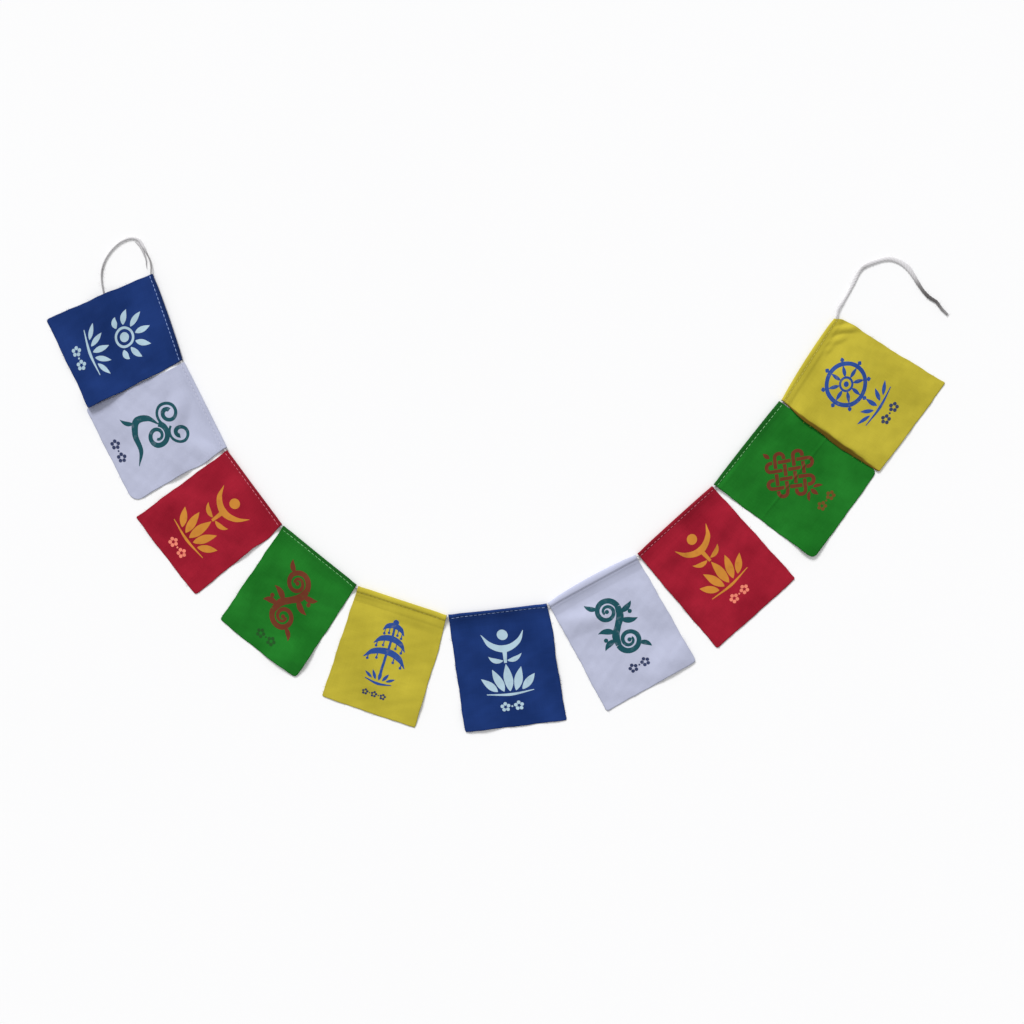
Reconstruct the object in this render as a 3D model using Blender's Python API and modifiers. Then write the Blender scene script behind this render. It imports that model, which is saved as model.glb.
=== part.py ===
"""A string of ten small prayer flags on a twisted cotton cord, laid out flat in an open arc.

Each flag is one piece of thin cotton. Its top edge is turned over the cord and sewn down as a
narrow header, so the flag is one cloth with a roll round the cord and a flap at the back. The
cord runs through all ten headers and ends in two bare tails. The string lies on z = 0.

Units are metres. X runs along the arc's chord, Y points from the flags' low edges to the cord's
tails, and Z is up.
"""

import math
from collections import namedtuple

import bpy
from mathutils import Vector
from mathutils.geometry import interpolate_bezier

COLLECTION = "prayer_flag_string"

CLOTH = 0.0010
CLEARANCE = 0.0003
CORD_RADIUS = 0.0010
PLY_RADIUS = 0.00055
CORD_BEVEL_STEPS = 2
FLOOR_LIFT = 0.00002

# The header: a roll round the cord, then two layers sewn together, then the single cloth
ROLL_FACET_ROOM = 0.0001
ROLL_RADIUS = CORD_RADIUS + CLEARANCE + CLOTH / 2 + ROLL_FACET_ROOM
SHEET_Z = CLOTH / 2 + FLOOR_LIFT
FLAP_LAYER_Z = SHEET_Z + CLOTH + CLEARANCE
ROLL_Z = SHEET_Z + ROLL_RADIUS
ROLL_OUTSIDE = ROLL_RADIUS + CLOTH / 2
ROLL_ANGLES = range(270, 0, -30)
FLAP_END = 0.0060
FLAP_START = 0.0022
SHEET_START = 0.0115
HEADER_GAP = 0.0016

CORD_FLOOR_Z = CORD_RADIUS + FLOOR_LIFT
PLY_FLOOR_Z = PLY_RADIUS + FLOOR_LIFT
CORD_RISE = 0.016

# The shares of a flag's width and of its free length where its rows of points lie
ACROSS_SHARES = (0.0, 0.05, 0.14, 0.28, 0.43, 0.57, 0.72, 0.86, 0.95, 1.0)
DOWN_SHARES = (0.10, 0.21, 0.33, 0.45, 0.57, 0.69, 0.80, 0.91, 1.0)
CORD_SHARES = (0.05, 0.14, 0.86, 0.95)
TAIL_STEP = 0.0060
STRAIGHT_SHARE = 0.14
SAMPLES_PER_SPAN = 24

# low_start and low_end are the lower corners below the header's start and end. low_bow is how far
# the low edge bulges between them. sleeve is the extra width of the roll at its start, middle and
# end, where the cloth is turned over more loosely.
Flag = namedtuple("Flag", "cloth low_start low_end low_bow start_round end_round sleeve")
FLAGS = {
    "flag_1_blue": Flag(
        "blue", (-0.3606, 0.1472), (-0.3257, 0.0752), 0.0001, 0.0008, 0.0012, (0.0001, 0.0008, 0.0001)
    ),
    "flag_2_white": Flag(
        "white", (-0.3266, 0.0724), (-0.2903, 0.0000), 0.0004, 0.0020, 0.0080, (0.0006, 0.0008, 0.0010)
    ),
    "flag_3_red": Flag(
        "red", (-0.2875, -0.0118), (-0.2405, -0.0733), 0.0003, 0.0008, 0.0016, (0.0001, 0.0000, 0.0003)
    ),
    "flag_4_green": Flag(
        "green", (-0.2202, -0.0932), (-0.1602, -0.1395), 0.0011, 0.0012, 0.0028, (0.0006, 0.0003, 0.0006)
    ),
    "flag_5_yellow": Flag(
        "yellow", (-0.1388, -0.1545), (-0.0650, -0.1796), 0.0003, 0.0010, 0.0014, (0.0003, 0.0000, 0.0001)
    ),
    "flag_6_blue": Flag(
        "blue", (-0.0244, -0.1832), (0.0562, -0.1736), 0.0002, 0.0012, 0.0012, (0.0008, 0.0000, 0.0003)
    ),
    "flag_7_white": Flag(
        "white", (0.0886, -0.1670), (0.1600, -0.1269), 0.0002, 0.0024, 0.0020, (0.0004, 0.0023, 0.0003)
    ),
    "flag_8_red": Flag(
        "red", (0.1770, -0.1159), (0.2392, -0.0605), 0.0004, 0.0014, 0.0010, (0.0003, 0.0006, 0.0003)
    ),
    "flag_9_green": Flag(
        "green", (0.2537, -0.0445), (0.3036, 0.0239), 0.0005, 0.0050, 0.0035, (0.0002, 0.0010, 0.0011)
    ),
    "flag_10_yellow": Flag(
        "yellow", (0.3072, 0.0264), (0.3592, 0.0957), 0.0004, 0.0014, 0.0010, (0.0000, 0.0014, 0.0002)
    ),
}

# Where the headers' folded edges start, meet and end, from the left tail to the right one
HEADER_JOINTS = (
    (-0.2742, 0.1837),
    (-0.2498, 0.1132),
    (-0.2152, 0.0431),
    (-0.1704, -0.0178),
    (-0.1107, -0.0661),
    (-0.0387, -0.0897),
    (0.0408, -0.0803),
    (0.1123, -0.0412),
    (0.1733, 0.0141),
    (0.2274, 0.0814),
    (0.2719, 0.1504),
)

# The cord's left tail, from its cut end under the first flag to that flag's header
LEFT_TAIL = (
    (-0.3110, 0.1555),
    (-0.3124, 0.1620),
    (-0.3137, 0.1681),
    (-0.3148, 0.1740),
    (-0.3154, 0.1797),
    (-0.3151, 0.1857),
    (-0.3126, 0.1938),
    (-0.3074, 0.2020),
    (-0.2984, 0.2096),
    (-0.2906, 0.2118),
    (-0.2858, 0.2104),
    (-0.2822, 0.2054),
    (-0.2792, 0.1990),
    (-0.2774, 0.1948),
    (-0.2764, 0.1892),
)

# The cord's right tail, from the last flag's header to its cut end
RIGHT_TAIL = (
    (0.2762, 0.1566),
    (0.2788, 0.1622),
    (0.2822, 0.1690),
    (0.2855, 0.1756),
    (0.2890, 0.1828),
    (0.2932, 0.1880),
    (0.2998, 0.1917),
    (0.3072, 0.1939),
    (0.3144, 0.1946),
    (0.3216, 0.1922),
    (0.3278, 0.1882),
    (0.3334, 0.1822),
    (0.3378, 0.1752),
    (0.3420, 0.1691),
    (0.3468, 0.1641),
    (0.3522, 0.1594),
    (0.3562, 0.1553),
    (0.3604, 0.1514),
)

# A ply that has come loose from the twist, on the inner side of the left tail's bend
LOOSE_PLY = (
    (-0.2887, 0.2093),
    (-0.2856, 0.2068),
    (-0.2839, 0.2044),
    (-0.2811, 0.1982),
    (-0.2798, 0.1940),
    (-0.2796, 0.1903),
    (-0.2791, 0.1870),
)

# Soft ridges and lifted places. across and out are measured on the flag, from the start of its
# header and from its cord. turn is the ridge's angle to the header, in degrees.
Fold = namedtuple("Fold", "flag across out turn half_length half_width height")
FOLDS = (
    Fold("flag_1_blue", 0.000, 0.0410, 0, 0.044, 0.021, 0.0036),
    Fold("flag_1_blue", 0.076, 0.0880, 30, 0.034, 0.026, 0.0042),
    Fold("flag_1_blue", 0.060, 0.0240, 25, 0.030, 0.012, 0.0012),
    Fold("flag_2_white", 0.004, 0.0900, -20, 0.030, 0.018, 0.0018),
    Fold("flag_2_white", 0.034, 0.0220, 40, 0.024, 0.011, 0.0016),
    Fold("flag_2_white", 0.060, 0.0400, 12, 0.028, 0.014, 0.0018),
    Fold("flag_3_red", 0.012, 0.0720, 60, 0.034, 0.014, 0.0014),
    Fold("flag_3_red", 0.060, 0.0300, 15, 0.030, 0.013, 0.0012),
    Fold("flag_4_green", 0.064, 0.0760, -35, 0.030, 0.016, 0.0018),
    Fold("flag_4_green", 0.016, 0.0320, 70, 0.026, 0.013, 0.0012),
    Fold("flag_5_yellow", 0.052, 0.0240, -6, 0.040, 0.011, 0.0026),
    Fold("flag_5_yellow", 0.014, 0.0560, 55, 0.034, 0.014, 0.0014),
    Fold("flag_6_blue", 0.070, 0.0500, 80, 0.036, 0.014, 0.0014),
    Fold("flag_6_blue", 0.010, 0.0840, 20, 0.026, 0.016, 0.0012),
    Fold("flag_7_white", 0.020, 0.0260, 10, 0.032, 0.013, 0.0020),
    Fold("flag_7_white", 0.066, 0.0860, -25, 0.030, 0.016, 0.0018),
    Fold("flag_8_red", 0.012, 0.0480, 75, 0.036, 0.014, 0.0014),
    Fold("flag_8_red", 0.062, 0.0240, -10, 0.030, 0.012, 0.0016),
    Fold("flag_9_green", 0.046, 0.0560, 4, 0.050, 0.010, 0.0016),
    Fold("flag_9_green", 0.030, 0.0220, 8, 0.036, 0.011, 0.0018),
    Fold("flag_9_green", 0.004, 0.0900, 30, 0.024, 0.018, 0.0024),
    Fold("flag_10_yellow", 0.072, 0.0200, 62, 0.022, 0.009, 0.0030),
    Fold("flag_10_yellow", 0.052, 0.0260, 50, 0.020, 0.010, 0.0018),
    Fold("flag_10_yellow", 0.024, 0.0640, -40, 0.040, 0.016, 0.0016),
)

Finish = namedtuple("Finish", "colour roughness")
FINISHES = {
    "blue": Finish((0.012, 0.040, 0.175), 0.85),
    "white": Finish((0.560, 0.570, 0.700), 0.85),
    "red": Finish((0.360, 0.014, 0.030), 0.85),
    "green": Finish((0.012, 0.220, 0.020), 0.85),
    "yellow": Finish((0.560, 0.480, 0.040), 0.85),
    "cord": Finish((0.700, 0.690, 0.680), 0.90),
}


def clear_scene():
    """Removes the startup objects."""
    for old in list(bpy.data.objects):
        bpy.data.objects.remove(old, do_unlink=True)


def make_material(name):
    """A matt woven or twisted cotton of one colour."""
    finish = FINISHES[name]
    material = bpy.data.materials.new(name)
    material.use_nodes = True
    shader = material.node_tree.nodes["Principled BSDF"]
    shader.inputs["Base Color"].default_value = (*finish.colour, 1.0)
    shader.inputs["Roughness"].default_value = finish.roughness
    shader.inputs["Metallic"].default_value = 0.0
    material.diffuse_color = (*finish.colour, 1.0)
    return material


class SmoothRoute:
    """A smooth curve through a list of points, read by the distance along it."""

    def __init__(self, points):
        self.points = [Vector(point) for point in points]
        self.line = [self.points[0]]
        self.knots = [0]
        for index in range(len(self.points) - 1):
            self.line.extend(self.span(index)[1:])
            self.knots.append(len(self.line) - 1)
        self.reach = [0.0]
        for before, after in zip(self.line, self.line[1:]):
            self.reach.append(self.reach[-1] + (after - before).length)
        self.length = self.reach[-1]

    def tangent(self, index):
        """The curve's direction at one of its points, leaning to the nearer neighbour's."""
        last = len(self.points) - 1
        if index in (0, last):
            near = min(max(index, 1), last)
            return (self.points[near] - self.points[near - 1]).normalized()
        before = self.points[index] - self.points[index - 1]
        after = self.points[index + 1] - self.points[index]
        blend = before.normalized() * after.length + after.normalized() * before.length
        return blend.normalized()

    def span(self, index):
        """The points of the curve between one of its points and the next."""
        start = self.points[index]
        end = self.points[index + 1]
        handle = (end - start).length / 3
        first = start + self.tangent(index) * handle
        second = end - self.tangent(index + 1) * handle
        return interpolate_bezier(start, first, second, end, SAMPLES_PER_SPAN + 1)

    def distance_of(self, index):
        """How far along the curve one of its own points lies."""
        return self.reach[self.knots[index]]

    def at(self, distance):
        """The point at a distance along the curve."""
        distance = min(max(distance, 0.0), self.length)
        low = 0
        high = len(self.reach) - 1
        while high - low > 1:
            middle = (low + high) // 2
            if self.reach[middle] <= distance:
                low = middle
            else:
                high = middle
        share = (distance - self.reach[low]) / (self.reach[high] - self.reach[low])
        return self.line[low].lerp(self.line[high], share)


def cord_centre_joints():
    """The headers' joints moved in from the folded edge to the middle of the roll."""
    centres = []
    flags = list(FLAGS.values())
    last = len(flags) - 1
    for index, joint in enumerate(HEADER_JOINTS):
        edge = Vector(joint)
        after = Vector(flags[min(index, last)].low_start)
        before = Vector(flags[max(index - 1, 0)].low_end)
        if index == 0:
            before = after
        if index == len(HEADER_JOINTS) - 1:
            after = before
        inward = (before - edge).normalized() + (after - edge).normalized()
        centres.append(edge + inward.normalized() * ROLL_OUTSIDE)
    return centres


def header_points(joints):
    """The cord's points through the headers, straight in each and bent at the joints."""
    points = [joints[0]]
    for start, end in zip(joints, joints[1:]):
        points.append(start.lerp(end, STRAIGHT_SHARE))
        points.append(start.lerp(end, 1 - STRAIGHT_SHARE))
        points.append(end)
    return points


def cord_route():
    """The cord's route in plan, with the distances at which the headers' joints lie on it."""
    joints = cord_centre_joints()
    left = [Vector(point) for point in LEFT_TAIL]
    right = [Vector(point) for point in RIGHT_TAIL]
    route = SmoothRoute(left + header_points(joints) + right)
    distances = [route.distance_of(len(left) + 3 * index) for index in range(len(joints))]
    return route, distances


def cord_height(distance, first, last):
    """The height of the cord's middle: on the floor in the tails, raised inside the headers."""
    outside = max(first - distance, distance - last, 0.0)
    share = min(outside / CORD_RISE, 1.0)
    eased = share * share * (3 - 2 * share)
    return ROLL_Z + (CORD_FLOOR_Z - ROLL_Z) * eased


def cord_points():
    """The points of the cord's tube, close together in the tails and at the headers' joints."""
    route, joints = cord_route()
    first = joints[0]
    last = joints[-1]
    steps = round(first / TAIL_STEP)
    distances = [first * step / steps for step in range(steps + 1)]
    for start, end in zip(joints, joints[1:]):
        header_start = start + HEADER_GAP / 2
        width = end - start - HEADER_GAP
        distances.extend(header_start + width * share for share in CORD_SHARES)
        if end < last:
            distances.append(end)
    steps = round((route.length - last) / TAIL_STEP)
    tail = route.length - last
    distances.extend(last + tail * step / steps for step in range(steps + 1))
    return [
        (*route.at(distance), cord_height(distance, first, last)) for distance in distances
    ]


def ply_points():
    """The loose ply's points, read from a smooth curve, lying on the floor."""
    route = SmoothRoute(LOOSE_PLY)
    steps = round(route.length / (4 * PLY_RADIUS))
    return [(*route.at(route.length * step / steps), PLY_FLOOR_Z) for step in range(steps + 1)]


def make_tube(name, points, radius, material, collection):
    """A round tube with closed ends along a line of points."""
    curve = bpy.data.curves.new(name, "CURVE")
    curve.dimensions = "3D"
    curve.bevel_depth = radius
    curve.bevel_resolution = CORD_BEVEL_STEPS
    curve.use_fill_caps = True
    spline = curve.splines.new("POLY")
    spline.points.add(len(points) - 1)
    for place, point in zip(spline.points, points):
        place.co = (*point, 1.0)
    curve.materials.append(material)
    tube = bpy.data.objects.new(name, curve)
    collection.objects.link(tube)
    return tube


def header_section():
    """The header's section as distances from the cord and heights of the cloth's middle."""
    section = [(FLAP_END, SHEET_Z), (FLAP_START, SHEET_Z)]
    for angle in ROLL_ANGLES:
        turn = math.radians(angle)
        out = ROLL_RADIUS * math.cos(turn)
        section.append((out, ROLL_Z + ROLL_RADIUS * math.sin(turn)))
    seam = FLAP_START + CLEARANCE
    section.append((seam, (section[-1][1] + FLAP_LAYER_Z) / 2 - CLEARANCE))
    section.append((seam + CLOTH, FLAP_LAYER_Z))
    section.append((FLAP_END + 2 * CLEARANCE, FLAP_LAYER_Z))
    section.append(((FLAP_END + SHEET_START) / 2, (FLAP_LAYER_Z + SHEET_Z) / 2))
    section.append((SHEET_START, SHEET_Z))
    return section


def fold_height(name, across, out):
    """How far the flag's ridges and lifted places raise the cloth at one place."""
    height = 0.0
    for fold in FOLDS:
        if fold.flag != name:
            continue
        turn = math.radians(fold.turn)
        aside = across - fold.across
        away = out - fold.out
        along = (aside * math.cos(turn) + away * math.sin(turn)) / fold.half_length
        over = (away * math.cos(turn) - aside * math.sin(turn)) / fold.half_width
        if abs(along) < 1 and abs(over) < 1:
            height += fold.height * (1 - along * along) ** 2 * (1 - over * over) ** 2
    return height


def corner_cut(aside, rounding):
    """How far a rounded lower corner draws the edge in, at a distance from the side."""
    reach = rounding - aside
    if reach <= 0:
        return 0.0
    return rounding - math.sqrt(max(rounding * rounding - reach * reach, 0.0))


class FlagShape:
    """One flag's place: its stretch of cord, its low edge and the points of its cloth."""

    def __init__(self, name, route, start, end):
        self.name = name
        self.flag = FLAGS[name]
        self.route = route
        self.start = start + HEADER_GAP / 2
        self.width = end - start - HEADER_GAP

    def line_down(self, share):
        """The cord's point at a share of the width, and the way from there to the low edge."""
        cord = self.route.at(self.start + self.width * share)
        low = Vector(self.flag.low_start).lerp(Vector(self.flag.low_end), share)
        return cord, low - cord

    def place(self, share, out):
        """The plan point at a share of the width and a distance from the cord."""
        cord, down = self.line_down(share)
        return cord + down.normalized() * out

    def free_length(self, share):
        """The distance from the cord to the low edge, with its bow and its rounded corners."""
        bow = self.flag.low_bow * 4 * share * (1 - share)
        near_start = corner_cut(share * self.width, self.flag.start_round)
        near_end = corner_cut((1 - share) * self.width, self.flag.end_round)
        return self.line_down(share)[1].length + bow - near_start - near_end

    def sleeve_room(self, share):
        """How much wider than the cord needs the roll is at a share of the width."""
        start, middle, end = self.flag.sleeve
        bulge = middle - (start + end) / 2
        return start + (end - start) * share + bulge * 4 * share * (1 - share)

    def rows(self):
        """The rows of cloth points, from the flap's edge over the cord to the low edge."""
        rows = []
        for out, height in header_section():
            widened = max(-out, 0) / ROLL_RADIUS
            rows.append(
                [
                    (*self.place(share, out - widened * self.sleeve_room(share)), height)
                    for share in ACROSS_SHARES
                ]
            )
        for down in DOWN_SHARES:
            row = []
            for share in ACROSS_SHARES:
                out = SHEET_START + (self.free_length(share) - SHEET_START) * down
                lift = fold_height(self.name, share * self.width, out)
                row.append((*self.place(share, out), SHEET_Z + lift))
            rows.append(row)
        return rows


def make_flag(shape, material, collection):
    """A flag as an open sheet of cloth points, thickened evenly to both sides."""
    rows = shape.rows()
    across = len(rows[0])
    points = [point for row in rows for point in row]
    faces = []
    for row in range(len(rows) - 1):
        for column in range(across - 1):
            corner = row * across + column
            faces.append((corner, corner + across, corner + across + 1, corner + 1))
    mesh = bpy.data.meshes.new(shape.name)
    mesh.from_pydata(points, [], faces)
    mesh.materials.append(material)
    mesh.shade_smooth()
    cloth = bpy.data.objects.new(shape.name, mesh)
    collection.objects.link(cloth)
    thickness = cloth.modifiers.new("cloth", "SOLIDIFY")
    thickness.thickness = CLOTH
    thickness.offset = 0.0
    thickness.use_even_offset = True
    thickness.use_quality_normals = True
    return cloth


def main():
    clear_scene()
    collection = bpy.data.collections.new(COLLECTION)
    bpy.context.scene.collection.children.link(collection)
    materials = {name: make_material(name) for name in FINISHES}
    route, joints = cord_route()
    for name, start, end in zip(FLAGS, joints, joints[1:]):
        shape = FlagShape(name, route, start, end)
        make_flag(shape, materials[shape.flag.cloth], collection)
    make_tube("cord", cord_points(), CORD_RADIUS, materials["cord"], collection)
    make_tube("cord_loose_ply", ply_points(), PLY_RADIUS, materials["cord"], collection)


main()
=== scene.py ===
"""Dresses the prayer flag string: ten printed cotton flags sewn onto a twisted cord.

The string lies flat in an open arc, as its solids do. X runs along the arc's chord, Y from the
flags' low edges to the cord's tails, and Z is up. Lengths are in metres unless a name says mm.
"""

import logging
import math
from dataclasses import dataclass, field
from enum import Enum
from functools import cache, cached_property

import bpy
import numpy as np
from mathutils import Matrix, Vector
from mathutils.geometry import interpolate_bezier


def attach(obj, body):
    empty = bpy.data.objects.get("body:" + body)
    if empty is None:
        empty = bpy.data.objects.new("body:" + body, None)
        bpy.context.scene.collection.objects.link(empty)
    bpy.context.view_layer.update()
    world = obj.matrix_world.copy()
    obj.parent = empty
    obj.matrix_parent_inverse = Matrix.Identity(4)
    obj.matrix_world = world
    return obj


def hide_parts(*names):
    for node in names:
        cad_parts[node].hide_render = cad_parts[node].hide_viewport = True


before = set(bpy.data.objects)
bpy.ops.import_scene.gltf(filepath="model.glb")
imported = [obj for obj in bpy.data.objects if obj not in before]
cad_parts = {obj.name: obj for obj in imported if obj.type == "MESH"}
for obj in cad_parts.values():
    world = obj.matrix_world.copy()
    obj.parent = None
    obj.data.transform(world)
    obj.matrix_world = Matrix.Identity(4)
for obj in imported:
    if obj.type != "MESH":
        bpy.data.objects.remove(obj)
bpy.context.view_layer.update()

LOG = logging.getLogger("prayer_flags")
ROOT = "root"
MM = 0.001

Point2 = tuple[float, float]
Colour = tuple[float, float, float]
Faces = list[tuple[int, ...]]


def from_screen(red: int, green: int, blue: int) -> Colour:
    """The light that a screen colour of 0 to 255 stands for.

    Args:
        red: The screen's red.
        green: The screen's green.
        blue: The screen's blue.

    Returns:
        The three linear values.
    """
    shares = np.array([red, green, blue]) / 255
    low = shares / 12.92
    high = ((shares + 0.055) / 1.055) ** 2.4
    linear = np.where(shares <= 0.04045, low, high)
    return (float(linear[0]), float(linear[1]), float(linear[2]))


def eased(share: np.ndarray) -> np.ndarray:
    """A rise from 0 to 1 that starts and ends level."""
    held = np.clip(share, 0.0, 1.0)
    return held * held * (3 - 2 * held)


class NodeSheet:
    """A material's node tree, with short calls that add and join its nodes."""

    def __init__(self, name: str, roughness: float) -> None:
        """Starts a material with its main shader.

        Args:
            name: The material's name.
            roughness: The shader's roughness.
        """
        self.material = bpy.data.materials.new(name)
        self.material.use_nodes = True
        self.tree = self.material.node_tree
        self.shader = self.tree.nodes["Principled BSDF"]
        self.shader.inputs["Roughness"].default_value = roughness
        self.shader.inputs["Specular IOR Level"].default_value = 0.15

    def add(self, kind: str, **values: object) -> bpy.types.Node:
        """Adds a node.

        Args:
            kind: The node's type name, without its ShaderNode start.
            values: Settings of the node, or default values of its sockets by name.

        Returns:
            The new node.
        """
        node = self.tree.nodes.new("ShaderNode" + kind)
        for name, value in values.items():
            if hasattr(node, name):
                setattr(node, name, value)
            else:
                node.inputs[name.replace("_", " ")].default_value = value
        return node

    def join(self, source: bpy.types.NodeSocket, target: bpy.types.NodeSocket) -> None:
        """Joins one socket to another."""
        self.tree.links.new(source, target)

    def maths(self, operation: str, first: object, second: object = 0.0) -> bpy.types.NodeSocket:
        """A sum, product or other operation on two sockets or numbers.

        Args:
            operation: The operation's name.
            first: A socket or a number.
            second: A socket or a number.

        Returns:
            The result's socket.
        """
        node = self.tree.nodes.new("ShaderNodeMath")
        node.operation = operation
        for place, value in zip(node.inputs, (first, second)):
            if isinstance(value, bpy.types.NodeSocket):
                self.join(value, place)
            else:
                place.default_value = value
        return node.outputs[0]

    def noise(self, vector: bpy.types.NodeSocket, scale: float, detail: float) -> bpy.types.NodeSocket:
        """An uneven grey from 0 to 1.

        Args:
            vector: The place that it is read at.
            scale: How many patches there are in a metre.
            detail: How many finer layers it has.

        Returns:
            The grey's socket.
        """
        node = self.add("TexNoise", Scale=scale, Detail=detail)
        self.join(vector, node.inputs["Vector"])
        return node.outputs["Fac"]

    def blend(self, share: object, first: object, second: object) -> bpy.types.NodeSocket:
        """A mix of two colours.

        Args:
            share: How much of the second there is, as a socket or a number.
            first: A colour or its socket.
            second: A colour or its socket.

        Returns:
            The mixed colour's socket.
        """
        node = self.add("Mix", data_type="RGBA", clamp_factor=True)
        for place, value in ((0, share), (6, first), (7, second)):
            if isinstance(value, bpy.types.NodeSocket):
                self.join(value, node.inputs[place])
            elif isinstance(value, tuple):
                node.inputs[place].default_value = (*value, 1.0)
            else:
                node.inputs[place].default_value = value
        return node.outputs[2]

    def stretch(self, source: bpy.types.NodeSocket, low: float, high: float) -> bpy.types.NodeSocket:
        """The part of a grey between two values, spread from 0 to 1.

        Args:
            source: The grey's socket.
            low: The value that becomes 0.
            high: The value that becomes 1.

        Returns:
            The new grey's socket.
        """
        node = self.add("MapRange", From_Min=low, From_Max=high)
        self.join(source, node.inputs["Value"])
        return node.outputs[0]

    def bump(self, height: bpy.types.NodeSocket, depth: float) -> None:
        """Raises the surface by a height of 0 to 1 times a depth in metres."""
        node = self.add("Bump", Strength=1.0, Distance=depth)
        self.join(height, node.inputs["Height"])
        self.join(node.outputs[0], self.shader.inputs["Normal"])

    def tint(self, colour: bpy.types.NodeSocket) -> None:
        """Gives the shader its colour."""
        self.join(colour, self.shader.inputs["Base Color"])


@dataclass(frozen=True)
class ClothFinish:
    """Thin plain-woven cotton of one dye, a little paler and darker in patches, with some painted shade."""

    name: str
    colour: Colour
    slot: str
    patch: float = 0.10
    edge_shade: float = 0.7
    # How much of each colour part is left where shade is painted, on a turned-down side and on a header's
    # roll
    turned_shade: Colour = (0.25, 0.15, 0.10)
    thread_pitch: float = 0.00042
    weave_depth: float = 0.00006
    sheen: float = 0.05

    def weave(self, nodes: NodeSheet, run: bpy.types.NodeSocket) -> bpy.types.NodeSocket:
        """The plain weave's height, from the cloth's own lengthways and crossways places.

        Args:
            nodes: The material's nodes.
            run: The cloth's places, in metres.

        Returns:
            The height's socket, from 0 to 1.
        """
        parts = nodes.add("SeparateXYZ")
        nodes.join(run, parts.inputs[0])
        turn = math.pi / self.thread_pitch
        across = nodes.maths("SINE", nodes.maths("MULTIPLY", parts.outputs[0], turn))
        along = nodes.maths("SINE", nodes.maths("MULTIPLY", parts.outputs[1], turn))
        over = nodes.maths("GREATER_THAN", nodes.maths("MULTIPLY", across, along))
        wide = nodes.maths("ABSOLUTE", across)
        deep = nodes.maths("ABSOLUTE", along)
        warp = nodes.maths("MULTIPLY", wide, nodes.maths("POWER", deep, 0.3))
        weft = nodes.maths("MULTIPLY", deep, nodes.maths("POWER", wide, 0.3))
        first = nodes.maths("MULTIPLY", warp, over)
        return nodes.maths("ADD", first, nodes.maths("MULTIPLY", weft, nodes.maths("SUBTRACT", 1.0, over)))

    def threads(self, nodes: NodeSheet, run: bpy.types.NodeSocket) -> bpy.types.NodeSocket:
        """Thicker and thinner threads, as faint streaks both ways.

        Args:
            nodes: The material's nodes.
            run: The cloth's places, in metres.

        Returns:
            The streaks' socket, from 0 to 1.
        """
        streaks = []
        for scale in ((60.0, 2200.0, 1.0), (2200.0, 60.0, 1.0)):
            place = nodes.add("Mapping")
            place.inputs["Scale"].default_value = scale
            nodes.join(run, place.inputs["Vector"])
            streaks.append(nodes.noise(place.outputs[0], 1.0, 2.0))
        return nodes.maths("MULTIPLY", nodes.maths("ADD", *streaks), 0.5)

    def make(self) -> bpy.types.Material:
        """Builds the cloth's material.

        Returns:
            The material.
        """
        nodes = NodeSheet(self.name, 0.88)
        nodes.shader.inputs["Sheen Weight"].default_value = self.sheen
        nodes.shader.inputs["Sheen Roughness"].default_value = 0.45
        run = nodes.add("UVMap", uv_map="cloth_run").outputs[0]
        pale = tuple(min(1.0, part * (1 + self.patch) + 0.006) for part in self.colour)
        deep = tuple(part * (1 - self.patch) for part in self.colour)
        place = nodes.add("TexCoord").outputs["Object"]
        patches = nodes.stretch(nodes.noise(place, 30.0, 2.0), 0.34, 0.66)
        colour = nodes.blend(patches, deep, pale)
        threads = self.threads(nodes, run)
        streaked = nodes.blend(nodes.stretch(threads, 0.35, 0.65), deep, pale)
        colour = nodes.blend(0.3, colour, streaked)
        edge = nodes.add("Attribute", attribute_name="cut_edge").outputs["Fac"]
        worn = nodes.maths("MULTIPLY", edge, nodes.stretch(nodes.noise(run, 420.0, 2.0), 0.25, 0.75))
        shade = tuple(part * self.edge_shade for part in self.colour)
        # Shade painted on a turned-down side and on a header's roll, by the weight that the cloth gives
        turned = nodes.add("Attribute", attribute_name="painted_shade").outputs["Fac"]
        under = tuple(part * share for part, share in zip(self.colour, self.turned_shade))
        nodes.tint(nodes.blend(turned, nodes.blend(worn, colour, shade), under))
        height = nodes.maths("ADD", self.weave(nodes, run), nodes.maths("MULTIPLY", threads, 0.8))
        nodes.bump(height, self.weave_depth)
        return nodes.material


@dataclass(frozen=True)
class InkFinish:
    """Screen-printed ink, thinner in places where the weave shows through."""

    name: str
    colour: Colour
    cloth: Colour

    def make(self) -> bpy.types.Material:
        """Builds the ink's material.

        Returns:
            The material.
        """
        nodes = NodeSheet(self.name, 0.7)
        place = nodes.add("TexCoord").outputs["Object"]
        thin = nodes.stretch(nodes.noise(place, 260.0, 4.0), 0.56, 0.86)
        patch = nodes.noise(place, 70.0, 2.0)
        deep = tuple(part * 0.86 for part in self.colour)
        colour = nodes.blend(nodes.stretch(patch, 0.3, 0.7), deep, self.colour)
        nodes.tint(nodes.blend(nodes.maths("MULTIPLY", thin, 0.3), colour, self.cloth))
        nodes.bump(nodes.noise(place, 2400.0, 2.0), 0.00003)
        return nodes.material


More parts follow.
